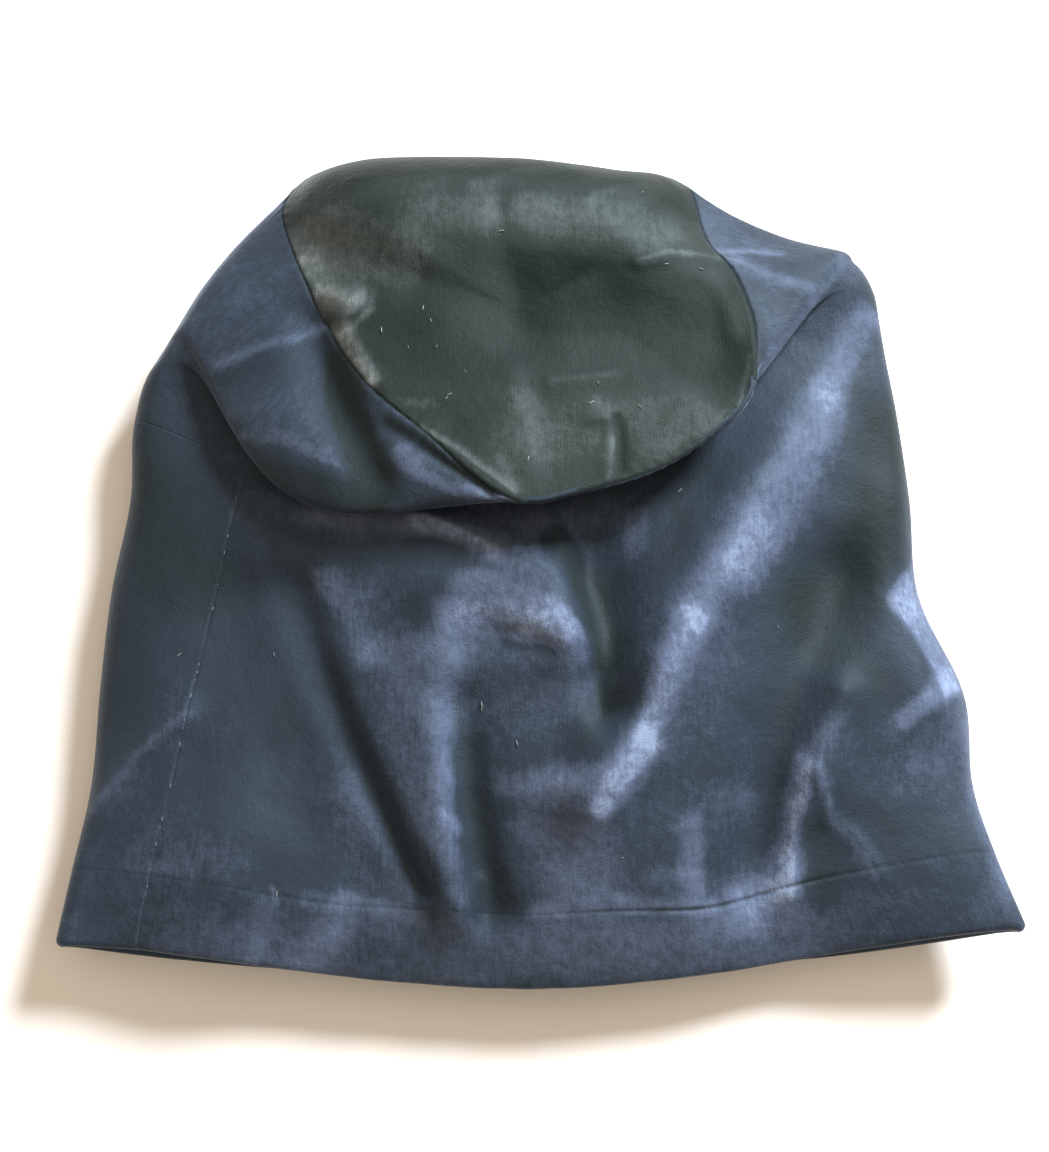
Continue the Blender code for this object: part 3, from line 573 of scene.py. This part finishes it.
class Wire:
    """A socket of a node tree. Operators on it add Math nodes, and node() adds any other node."""

    def __init__(self, tree, socket=None):
        self.tree, self.socket = tree, socket

    def node(self, kind, settings=None, values=None, out=0):
        """A node of this kind with its settings, then the values or wires of its sockets."""
        item = self.tree.nodes.new(kind)
        for key, value in (settings or {}).items():
            if key == "stops":
                ramp = item.color_ramp.elements
                while len(ramp) < len(value):
                    ramp.new(1)
                for stop, (position, color) in zip(ramp, value):
                    stop.position, stop.color = position, (*color, 1)
            else:
                setattr(item, key, value)
        for key, value in (values or {}).items():
            if isinstance(value, Wire):
                self.tree.links.new(value.socket, item.inputs[key])
            else:
                item.inputs[key].default_value = value
        return Wire(self.tree, item.outputs[out]) if len(item.outputs) else None

    def math(self, operation, *values):
        return self.node("ShaderNodeMath", {"operation": operation}, dict(enumerate(values or (self,))))

    def __add__(self, other):
        return self.math("ADD", self, other)

    def __sub__(self, other):
        return self.math("SUBTRACT", self, other)

    def __rsub__(self, other):
        return self.math("SUBTRACT", other, self)

    def __mul__(self, other):
        return self.math("MULTIPLY", self, other)

    __radd__, __rmul__ = __add__, __mul__

    def attribute(self, name):
        """A value that the mesh carries."""
        return self.node("ShaderNodeAttribute", {"attribute_name": name}, out="Fac")

    def noise(self, look):
        """Noise of this look at the places of this wire."""
        values = {"Scale": look.scale, "Detail": look.detail, "Roughness": look.roughness}
        return self.node("ShaderNodeTexNoise", values={"Vector": self, **values})

    def surface(self, values, height):
        """Ends a material with a shader that takes these values and is bumped by this height."""
        bump = self.node("ShaderNodeBump", values={"Height": height, "Distance": 1.0, "Strength": 1.0})
        shader = self.node("ShaderNodeBsdfPrincipled", values={**values, "Normal": bump})
        self.node("ShaderNodeOutputMaterial", values={"Surface": shader})


def bare_material(name):
    """A material without nodes, and a wire to add them with."""
    material = bpy.data.materials.new(name)
    material.use_nodes = True
    material.node_tree.nodes.clear()
    return material, Wire(material.node_tree)


# A groove where stitches draw the cloth in, and how much paler it is; where that is negative, the darker line is
# painted shade in the groove.
# away and shows name the attributes that say how far off it is and how much it shows there.
Groove = namedtuple("Groove", "away shows width depth paler")


# The pile's noises: wide clouds, crushed spots, single tufts, and streaks that are combed along the cloth.
# share is how much each changes the shade, and height how much it lifts the surface.
Noise = namedtuple("Noise", "scale detail roughness share height", defaults=(0, 0))
CLOUDS = Noise(70, 4, 0.55, 0.30)
CRUSH = Noise(360, 5, 0.62, 0.26, 0.00030)
GRAIN = Noise(1700, 2, 0.60, 0.24, 0.00012)
COMBED = Noise(620, 3, 0.60, 0.22)
COMBED_STRETCH = 0.22  # scale of the streaks along the cloth, for 1 across it
RIBS_SCALE, RIBS_BEND, RIBS_SHARE, RIBS_HEIGHT = 360, 3.0, 0.035, 0.000015  # the rows of the pile
PAINTED_LIGHT_CRUSH, PAINTED_LIGHT_COMBED, PAINTED_LIGHT_EVEN = 1.1, 0.5, 0.20  # what the painted light and shade of a stroke take from these noises
GROOVE_CLOUDS, GROOVE_GAPS = 1.6, 0.1  # how much more a groove shows in clouds, and how much is left out
STOPS = (0.0, 0.33, 0.67, 1.0)  # where the four colours lie from dark to pale; the second is the plain one


def velvet(name, colors, sheen, gloss, gloss_tint, roughness, grooves):
    """Velvet whose four colours run from dark to pale by the painted light and shade that its mesh carries, with
    some of the way its pile lies, and by the pile's uneven tone. sheen is its weight, roughness and tint."""
    material, start = bare_material(name)
    place = start.node("ShaderNodeTexCoord", out="Object")
    cloth = start.node("ShaderNodeUVMap", {"uv_map": "cloth"})
    drawn = start.node("ShaderNodeMapping", values={"Vector": cloth, "Scale": (1.0, COMBED_STRETCH, 1.0)})
    ribs = start.node("ShaderNodeTexWave", {"bands_direction": "X"}, {
        "Vector": cloth, "Scale": RIBS_SCALE, "Distortion": RIBS_BEND, "Detail": 2, "Detail Scale": 0.6})
    clouds, crush, grain = place.noise(CLOUDS), place.noise(CRUSH), place.noise(GRAIN)
    combed = drawn.noise(COMBED)
    uneven = (clouds - 0.5) * CLOUDS.share + (crush - 0.5) * CRUSH.share + (grain - 0.5) * GRAIN.share
    uneven = uneven + (combed - 0.5) * COMBED.share + (ribs - 0.5) * RIBS_SHARE
    # Painted light and shade of the strokes, broken up by the pile's noises, plus the pile's uneven tone.
    shade = start.attribute("nap") * (crush * PAINTED_LIGHT_CRUSH + combed * PAINTED_LIGHT_COMBED + PAINTED_LIGHT_EVEN) + uneven
    height = grain * GRAIN.height + crush * CRUSH.height + ribs * RIBS_HEIGHT
    for groove in grooves:
        away, shows = start.attribute(groove.away), start.attribute(groove.shows)
        near = (away * away * (-1 / groove.width**2)).math("EXPONENT")
        here = near * (clouds * GROOVE_CLOUDS - GROOVE_GAPS) * shows
        height = height - here * groove.depth
        shade = shade + here * groove.paler
    place_on_ramp = shade * (1 - STOPS[1]) + STOPS[1]
    color = start.node("ShaderNodeValToRGB", {"stops": list(zip(STOPS, colors))}, {"Fac": place_on_ramp})
    weight, sheen_roughness, tint = sheen
    start.surface({
        "Base Color": color, "Roughness": roughness,
        "Specular IOR Level": gloss, "Specular Tint": (*gloss_tint, 1),
        "Sheen Weight": weight, "Sheen Roughness": sheen_roughness, "Sheen Tint": (*tint, 1)}, height)
    return material


navy_velvet = velvet(
    "navy_velvet",
    colors=((0.010, 0.016, 0.018), (0.019, 0.029, 0.045), (0.080, 0.106, 0.175), (0.200, 0.262, 0.400)),
    sheen=(0.3, 0.3, (0.55, 0.68, 0.90)), gloss=0.18, gloss_tint=(0.75, 0.90, 1.0), roughness=0.6,
    # The hem line's and the crown seam's grooves are darkened by painted shade; the lengthwise seam's line is
    # paler.
    grooves=(Groove("from_hem_line", "hem_line_shows", 0.0007, 0.0006, -0.20),
             Groove("from_seam", "seam_shows", 0.0005, 0.0003, 0.12),
             Groove("from_crown_seam", "crown_seam_shows", 0.0006, 0.0001, -0.25)))
side_tube = wall_mesh("side_tube_cloth", tube_outer, tube_inner, False, {
    "nap": with_fold(nap), **{label: with_fold(values) for label, values in lines.items()}})
side_tube.data.materials.append(navy_velvet)
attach(side_tube, BODY)
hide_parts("side_tube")

# ------------------------------------------------------------
# Turned-up hem. The tube's own edge, turned in by 22 mm and stitched down through both layers. It goes round
# the opening as a band inside the tube, and its fold is the cap's soft rounded edge.
# ------------------------------------------------------------

HEM_ROWS = slice(EDGE_ROW, SECTIONS[0].rows)  # from the fold to the line of stitches
hem_outer = tube[HEM_ROWS] - tube_out[HEM_ROWS] * (CLOTH + HEM_GAP)
hem_inner = tube[HEM_ROWS] - tube_out[HEM_ROWS] * (2 * CLOTH + HEM_GAP)
hem = wall_mesh("turned_up_hem_cloth", hem_outer, hem_inner, False, {
    "nap": nap[HEM_ROWS], **{label: np.full(hem_outer.shape[:2], FAR_AWAY) for label in lines}})
hem.data.materials.append(navy_velvet)
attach(hem, BODY)
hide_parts("turned_up_hem")

# ------------------------------------------------------------
# Stitches of the hem. A dark navy thread holds the turned-up edge with a row of lock stitches round the tube.
# They show best at the right of the front, and sink into the pile elsewhere.
# ------------------------------------------------------------

HEM_STITCH = {"Pitch": 0.0027, "Length": 0.0020, "Width": 0.00042, "Share": 1.0, "Uneven": 0.1}
HEM_STITCH_RISE, HEM_STITCH_SINK = -0.0002, 0.0006
STRANDS = Noise(2600, 2, 0.6, height=0.0001)
STITCH_SEED = 7


def crossings(away, *grids):
    """Where a distance first passes nought in each column of a grid, read from other grids of its shape."""
    row = (away[1:] >= 0).argmax(axis=0)
    column = np.arange(away.shape[1])
    share = (away[row, column] / (away[row, column] - away[row + 1, column]))[:, None]
    return [grid[row, column] * (1 - share) + grid[row + 1, column] * share for grid in grids]


def thread(name, dark, pale):
    """Spun thread, whose colour runs from dark to pale in its strands."""
    material, start = bare_material(name)
    strands = start.node("ShaderNodeTexCoord", out="Object").noise(STRANDS)
    color = start.node("ShaderNodeValToRGB", {"stops": ((0.3, dark), (0.7, pale))}, {"Fac": strands})
    start.surface({"Base Color": color, "Roughness": 0.65}, strands * STRANDS.height)
    return material


def stitches(name, points, outward, sizes, material, along=None):
    """Stitches or fibres as one plain mesh, laid on the cloth by a node tree. outward says which way they
    face. Stitches lie a pitch apart on the line through the points. Fibres lie one at each point, and along
    says which way."""
    guide = bpy.data.meshes.new(name)
    in_line = along is None
    guide.from_pydata(points.tolist(), [(k, k + 1) for k in range(len(points) - 1)] if in_line else [], [])
    along = np.gradient(points, axis=0) if in_line else along
    for label, ways in (("outward", outward), ("along", along)):
        spots = guide.attributes.new(label, "FLOAT_VECTOR", "POINT")
        spots.data.foreach_set("vector", ways.astype(np.float32).ravel())
    tree = bpy.data.node_groups.new(name, "GeometryNodeTree")
    kinds = {"Line": "NodeSocketGeometry", **dict.fromkeys(sizes, "NodeSocketFloat"), "Seed": "NodeSocketInt",
             "Thread": "NodeSocketMaterial"}
    keys = {label: tree.interface.new_socket(label, in_out="INPUT", socket_type=kind).identifier
            for label, kind in kinds.items()}
    tree.interface.new_socket("Stitches", in_out="OUTPUT", socket_type="NodeSocketGeometry")
    given = tree.nodes.new("NodeGroupInput")
    take = {label: Wire(tree, given.outputs[label]) for label in kinds}
    start = Wire(tree)
    if in_line:
        curve = start.node("GeometryNodeMeshToCurve", values={"Mesh": take["Line"]})
        spots = start.node("GeometryNodeResampleCurve", {"mode": "LENGTH"},
                           {"Curve": curve, "Length": take["Pitch"]})
    else:
        spots = start.node("GeometryNodeMeshToPoints", values={"Mesh": take["Line"]})
    vector = {"data_type": "FLOAT_VECTOR"}
    faces = start.node("GeometryNodeInputNamedAttribute", vector, {"Name": "outward"})
    lies = start.node("GeometryNodeInputNamedAttribute", vector, {"Name": "along"})
    upright = start.node("FunctionNodeAlignRotationToVector", {"axis": "Z"}, {"Vector": faces})
    turned = start.node("FunctionNodeAlignRotationToVector", {"axis": "X", "pivot_axis": "Z"},
                        {"Rotation": upright, "Vector": lies})
    bead = start.node("GeometryNodeMeshUVSphere", values={"Segments": 6, "Rings": 5, "Radius": 0.5})
    size = start.node("ShaderNodeCombineXYZ",
                      values={"X": take["Length"], "Y": take["Width"], "Z": take["Width"]})
    bead = start.node("GeometryNodeTransform", values={"Geometry": bead, "Scale": size})
    bead = start.node("GeometryNodeSetShadeSmooth", values={"Geometry": bead})
    kept = start.node("FunctionNodeRandomValue", {"data_type": "BOOLEAN"},
                      {"Probability": take["Share"], "Seed": take["Seed"]}, out=3)
    grown = start.node("FunctionNodeRandomValue", {"data_type": "FLOAT"},
                       {2: 1 - take["Uneven"], 3: 1 + take["Uneven"], "Seed": take["Seed"]}, out=1)
    laid = start.node("GeometryNodeInstanceOnPoints", values={
        "Points": spots, "Selection": kept, "Instance": bead, "Rotation": turned, "Scale": grown})
    laid = start.node("GeometryNodeRealizeInstances", values={"Geometry": laid})
    laid = start.node("GeometryNodeSetMaterial", values={"Geometry": laid, "Material": take["Thread"]})
    tree.links.new(laid.socket, tree.nodes.new("NodeGroupOutput").inputs[0])
    holder = add_object(name + "_line", guide)
    modifier = holder.modifiers.new("stitches", "NODES")
    modifier.node_group = tree
    for label, value in {**sizes, "Seed": STITCH_SEED, "Thread": material}.items():
        modifier[keys[label]] = value
    depsgraph = bpy.context.evaluated_depsgraph_get()
    mesh = bpy.data.meshes.new_from_object(holder.evaluated_get(depsgraph), depsgraph=depsgraph)
    bpy.data.objects.remove(holder)
    item = add_object(name, mesh)
    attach(item, BODY)
    return item


navy_thread = thread("navy_thread", (0.006, 0.008, 0.014), (0.024, 0.030, 0.052))
line, outward, shows = crossings(from_hem_line, tube, tube_out, lines["hem_line_shows"][..., None])
line = line + outward * (HEM_STITCH_RISE - HEM_STITCH_SINK * (1 - shows))
line, outward = np.concatenate((line, line[:1])), np.concatenate((outward, outward[:1]))
hem_stitches = stitches("hem_stitches", line, outward, HEM_STITCH, navy_thread)

# ------------------------------------------------------------
# Stitches of the lengthwise seam. The seam that closes the tube is sewn with the same thread, whose stitches
# show through the pile here and there; the thread is painted paler than the hem's, as a painted glint.
# ------------------------------------------------------------

SEAM_STITCH = {"Pitch": 0.0024, "Length": 0.0013, "Width": 0.00040, "Share": 0.42, "Uneven": 0.4}
SEAM_STITCH_RISE = 0.00005
SEAM_START = 2  # rows from the hem's edge to the first stitch

seam_rows = slice(EDGE_ROW + SEAM_START, int(np.argmax(places > knot["chest"])))
front = np.s_[seam_rows, :OVER_COLUMNS]
line, outward = crossings(-from_seam[front].T, tube[front].swapaxes(0, 1), tube_out[front].swapaxes(0, 1))
line = line + outward * SEAM_STITCH_RISE
# A paler thread, as a painted glint on the seam's stitches.
glint_painted_thread = thread("glint_painted_thread", (0.05, 0.065, 0.085), (0.12, 0.15, 0.19))
seam_stitches = stitches("seam_stitches", line, outward, SEAM_STITCH, glint_painted_thread)

# ------------------------------------------------------------
# Crown panel. A rounded piece of blackish green velvet, sewn to the tube's far end with the seam turned in.
# Flopped forward, it lies on top of the cap, sunk in the middle and rolled over at its edge.
# ------------------------------------------------------------

PANEL_RINGS, PANEL_SPREAD = 71, 1.35  # rings of the panel, and how closely they crowd at its edge
PANEL_DROP = (0.018, 0.040)  # the panel rolls over its edge where it drops this far, gently and then fully
PANEL_ROUND = (2.2, 5.0)  # how squarely it does so
PANEL_CALM = 0.012  # width of the edge on which its waves fade
SMALL_PANEL_FOLDS = (
    ("crease at right", (28, 82.5), (40, 87.5), (52, 87.5), 1.6, 3, 1),
    ("left fold", (-64, 60), (-52, 62), (-50, 74), 3, 3, -1.2),
    ("left bulge", (-66, 74), (-60, 70), (-54, 70), 5, 5, 1.2),
    ("front wrinkle", (2, 44.5), (10, 46), (20, 48), 1.4, 3, 0.5),
    ("front dark fold", (21.5, 33), (22.5, 26), (22.5, 17), 2, 1.6, -1),
    ("front bulge", (19.5, 29), (19.5, 24), (18.5, 16), 1.4, 3, 0.6),
    ("front left ridge", (-8, 46), (-6, 32), (-4, 14), 4, 6, 0.8),
    ("right bulge", (50, 80), (56, 72), (56, 62), 3, 4, 0.8),
    ("left rim", (-59, 64), (-54, 54), (-46, 40), 4, 3, 1.6),
)
seam = seam_line(turns % 1)[0]
drop = CROWN_MIDDLE[2] - seam[:, 2]
roundness = PANEL_ROUND[0] + (PANEL_ROUND[1] - PANEL_ROUND[0]) * smooth_step(*PANEL_DROP, drop)
flat_part = np.where(upper, np.abs(across) ** FOLD_FADE, 1)
panel = []
for share in 1 - np.linspace(0, 1, PANEL_RINGS, endpoint=False) ** PANEL_SPREAD:
    ring = CROWN_MIDDLE + (seam - CROWN_MIDDLE) * share
    ring[:, 2] = CROWN_MIDDLE[2] - drop * share**roundness
    ring[:, 2] += fold_heights(ring[:, 0], ring[:, 1], CROWN_FOLDS) * (1 - flat_part * share**FOLD_FADE)
    ring[:, 2] += fold_heights(ring[:, 0], ring[:, 1], SMALL_PANEL_FOLDS) * (1 - share**FOLD_FADE)
    panel.append(ring)
panel = np.array(panel)
panel_x, panel_y = panel[..., 0].copy(), panel[..., 1].copy()
length = np.linalg.norm(np.diff(panel, axis=0), axis=2)
from_edge = np.concatenate((np.zeros((1, len(turns))), length.cumsum(axis=0)))
panel[..., 2] += waves(panel, WAVES) * smooth_step(0, PANEL_CALM, from_edge)
panel -= CAP_MIDDLE
panel += grid_normals(panel) * seam_swell(panel[0], from_edge)[..., None]
panel_in = panel - grid_normals(panel) * CLOTH
# Painted highlights and painted shade on the crown panel, with some of its pile's own paler and darker patches,
# in the same form as the strokes on the tube.
PANEL_PAINTED_LIGHT_AND_NAP = (
    # middle
    ("all over", (-50, 60), (0, 50), (50, 60), 60, 60, -0.25, 1, 3),
    ("hollow", (4, 74), (20, 73.5), (46, 70), 11, 13, -0.5, 0.9, 5),
    ("hollow, low right", (40, 60), (47, 53), (53, 48), 12, 10, -0.3, 1, 5),
    ("dark streak", (-10.5, 103), (-11, 94), (-8, 84), 3, 2, -0.22, 1.4),
    ("middle, pale", (-16, 80), (-12, 76), (-8, 72), 3, 3, 0.18),
    ("middle, dark", (-34, 58), (-24, 50), (-16, 40), 12, 10, -0.08, 1, 3),
    ("left of middle, dark", (-50, 96), (-44, 86), (-38, 74), 8, 6, -0.06, 1, 3),
    # right side
    ("crease at right", (28, 82.5), (40, 87.8), (53, 87.5), 1, 1.6, 0.34),
    ("right rim facet", (49, 79), (54, 72), (55.5, 63), 3.4, 3, 0.3, 1.1, 3),
    ("right rim", (60.5, 54), (60, 46), (56.5, 38), 1, 1.2, 0.46),
    # front
    ("front", (-6, 31), (18, 29), (48, 37), 11, 13, 0.28, 0.9, 4),
    ("front, bright column", (-8, 44), (-5, 32), (1, 18), 5, 4, 0.16),
    ("front, bright patch", (-13, 42), (-9, 41), (-4, 40), 4, 3, 0.16),
    ("front wrinkle", (3, 44.5), (10, 46), (20, 48), 1.3, 1.6, 0.26),
    ("front, pale spot", (16, 40), (18, 36), (22, 33), 3, 3, 0.16),
    ("front dark fold", (21.5, 33), (23, 26), (22.5, 18), 1.8, 1.2, -0.55),
    ("front dark fold, top", (12, 32.5), (17, 32.5), (22, 31.5), 1, 1.4, -0.3),
    ("front, beside dark fold", (20.5, 27), (20, 22), (18.5, 16), 1, 1.6, 0.34),
    ("front right", (27, 20), (40, 26.5), (55, 38), 5, 1.2, 0.1),
    ("front right, inner", (30, 36), (36, 30), (38, 26), 3, 3, 0.04),
    ("front left edge", (-46, 36.5), (-27, 27.5), (-8, 11.5), 1.8, 0.8, 0.5),
    ("front left, faint", (-44, 38.5), (-38, 38.5), (-30, 37), 1.4, 1.4, 0.16),
    ("tip", (-12, 20), (-8.5, 15), (-6, 11.5), 3, 2, 0.2),
    # left side
    ("left edge, high", (-71, 88), (-69, 82), (-65, 77), 6, 2, 0.44),
    ("left edge, bright", (-66, 74.5), (-60, 72.5), (-54, 71.5), 4.5, 4.5, 0.6, 1, 3),
    ("left edge, strip", (-59, 64), (-56, 56), (-50, 46), 4, 2, 0.7, 0.8, 3),
    ("left edge, low", (-51, 45.5), (-48, 41), (-45.5, 37), 2.4, 1, 0.6),
    ("left fold, shade", (-64, 65.5), (-54, 65), (-50, 74), 1.2, 1.6, -0.3),
    ("left fold, light", (-62, 61), (-52, 63.5), (-49, 74), 1, 1.6, 0.22),
    ("left rim, all", (-62, 66), (-50, 48), (-30, 34), 12, 3, 0.2, 1, 3),
    # far side
    ("far left", (-74, 100), (-60, 89), (-42, 82), 10, 12, 0.42, 1, 3),
    ("far left patch", (-48, 108), (-38, 109), (-30, 108), 4, 3, 0.16),
    ("far middle", (-32, 98), (-24, 96), (-16, 93), 6, 6, 0.16),
    ("far middle, all", (-60, 100), (-10, 96), (36, 94), 10, 14, 0.17, 1, 3),
    ("far arch", (-20, 106), (-10, 112), (5, 114), 1.6, 3, 0.22),
    ("far right", (-10, 97), (12, 94), (34, 92), 8, 8, 0.18, 1, 3),
    ("far streak", (14, 101), (21, 108), (35, 111), 1.4, 3, 0.2),
    ("far right, dark", (44, 108), (45, 100), (47, 93), 2, 3, -0.16),
    ("far rim", (-74, 108), (-10, 122), (46, 108), 12, 6, -0.4, 1, 3),
)
panel_wander = waves(panel, ((WANDER_SIZE, EDGE_WANDER),))
panel_painted_light_and_nap = fold_heights(panel_x + panel_wander, panel_y - panel_wander, PANEL_PAINTED_LIGHT_AND_NAP, 1)
dark_velvet = velvet(
    "dark_velvet",
    colors=((0.007, 0.012, 0.012), (0.019, 0.028, 0.028), (0.080, 0.100, 0.107), (0.200, 0.237, 0.246)),
    sheen=(0.22, 0.3, (0.60, 0.72, 0.70)), gloss=0.11, gloss_tint=(0.86, 1.0, 0.96), roughness=0.6,
    # The crown seam's groove is darkened by painted shade.
    grooves=(Groove("from_crown_seam", "crown_seam_shows", 0.0005, 0.0001, -0.12),))
crown_values = {"nap": panel_painted_light_and_nap, "from_crown_seam": from_edge, "crown_seam_shows": np.ones_like(from_edge)}
flat_cut = np.stack((panel_x, panel_y), axis=2)
crown = wall_mesh("crown_panel_cloth", panel, panel_in, True, crown_values, flat_cut)
crown.data.materials.append(dark_velvet)
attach(crown, BODY)
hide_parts("crown_panel")

# ------------------------------------------------------------
# Lint. Short pale fibres that cling to the pile, most of them on the crown.
# ------------------------------------------------------------

LINT = {"Length": 0.0017, "Width": 0.00028, "Share": 1.0, "Uneven": 0.4}
LINT_RISE = 0.00025
# Fibres as x, y and their bearing on the cloth in degrees.
CROWN_LINT = (
    (-34, 67, 80), (-32, 63, 100), (-38, 55, 85), (-30, 55, 60),
    (-46, 61, 95), (-22, 47, 120), (-27, 39, 50), (-26.5, 40, 20),
    (16, 44, 88), (14, 38, 30), (28, 37, 140), (36, 82, 10),
    (47, 82, 170), (30, 106, 35), (-4, 21, 75), (-12, 90, 15),
)
TUBE_LINT = (
    (-17.5, -45, 92), (-17.5, -47, 80), (-7, -57, 100), (-50, -29.5, 10),
    (-78, -30, 95), (-75, -98, 85), (68, -23, 90), (40, 17, 45),
    (-106, -30, 40), (22, -88, 15),
)


def on_cloth(fibres, x, y, surface, outward):
    """Where each fibre lies on a surface, which way the cloth faces there, and the way that the fibre lies."""
    rows = []
    for fibre_x, fibre_y, turn in fibres:
        index = np.unravel_index(((x - fibre_x * MM) ** 2 + (y - fibre_y * MM) ** 2).argmin(), x.shape)
        bearing = math.radians(turn)
        rows.append((surface[index] + outward[index] * LINT_RISE, outward[index],
                     np.array((math.cos(bearing), math.sin(bearing), 0.0))))
    return [np.array(column) for column in zip(*rows)]


body_rows = slice(EDGE_ROW, int(np.argmax(places > knot["shoulder"])))
front = np.s_[body_rows, :OVER_COLUMNS]
spots, faces, lies = [np.concatenate(pair) for pair in zip(
    on_cloth(CROWN_LINT, panel_x, panel_y, panel, grid_normals(panel)),
    on_cloth(TUBE_LINT, tube_x[front], tube_y[front], tube[front], tube_out[front]))]
grey_fibre = thread("grey_fibre", (0.10, 0.125, 0.13), (0.24, 0.27, 0.27))
lint = stitches("lint", spots, faces, LINT, grey_fibre, along=lies)

# ------------------------------------------------------------
# Floor, light and camera. A plain pale floor, one soft key light from the far right and a warm fill from all
# round. The camera looks down on the cap from the hem's side.
# ------------------------------------------------------------

FLOOR_REACH = 6
FILL_COLOR, FILL_STRENGTH = (0.92, 0.74, 0.56, 1), 0.5
TO_KEY, KEY_DISTANCE = Vector((0.520, 0.580, 0.628)).normalized(), 1.5
ELEVATION, DISTANCE, TARGET = math.radians(78), 0.52, Vector((-0.00375, -0.00349, 0))
LENS, SENSOR_HEIGHT = 52, 36  # of the camera, in millimetres


def area_light(name, place, size, power, color):
    """A round light that faces down."""
    data = bpy.data.lights.new(name, "AREA")
    data.shape, data.size = "DISK", size
    data.energy, data.color = power, color
    light = add_object(name, data)
    light.location = place
    return light


corners = [(x * FLOOR_REACH, y * FLOOR_REACH, 0) for x, y in ((-1, -1), (1, -1), (1, 1), (-1, 1))]
floor_mesh = bpy.data.meshes.new("floor")
floor_mesh.from_pydata(corners, [], [(0, 1, 2, 3)])
floor = add_object("floor", floor_mesh)
pale, start = bare_material("pale_floor")
shader = start.node("ShaderNodeBsdfPrincipled", values={"Base Color": (0.80, 0.80, 0.80, 1), "Roughness": 0.9})
start.node("ShaderNodeOutputMaterial", values={"Surface": shader})
floor_mesh.materials.append(pale)

world = bpy.data.worlds.new("fill")
world.use_nodes = True
background = world.node_tree.nodes["Background"].inputs
background["Color"].default_value, background["Strength"].default_value = FILL_COLOR, FILL_STRENGTH
bpy.context.scene.world = world
area_light("ceiling", (0, 0, 2.0), size=2.4, power=16, color=(1.0, 0.82, 0.62))
key = area_light("key", TO_KEY * KEY_DISTANCE, size=0.5, power=60, color=(0.93, 0.97, 1.0))
key.rotation_euler = TO_KEY.to_track_quat("Z", "Y").to_euler()

camera_data = bpy.data.cameras.new("camera")
camera_data.lens, camera_data.sensor_fit, camera_data.sensor_height = LENS, "VERTICAL", SENSOR_HEIGHT
camera = add_object("camera", camera_data)
camera.location = TARGET + Vector((0, -math.cos(ELEVATION), math.sin(ELEVATION))) * DISTANCE
camera.rotation_euler = (math.pi / 2 - ELEVATION, 0, 0)
bpy.context.scene.camera = camera
bpy.context.scene.view_settings.view_transform = "Standard"
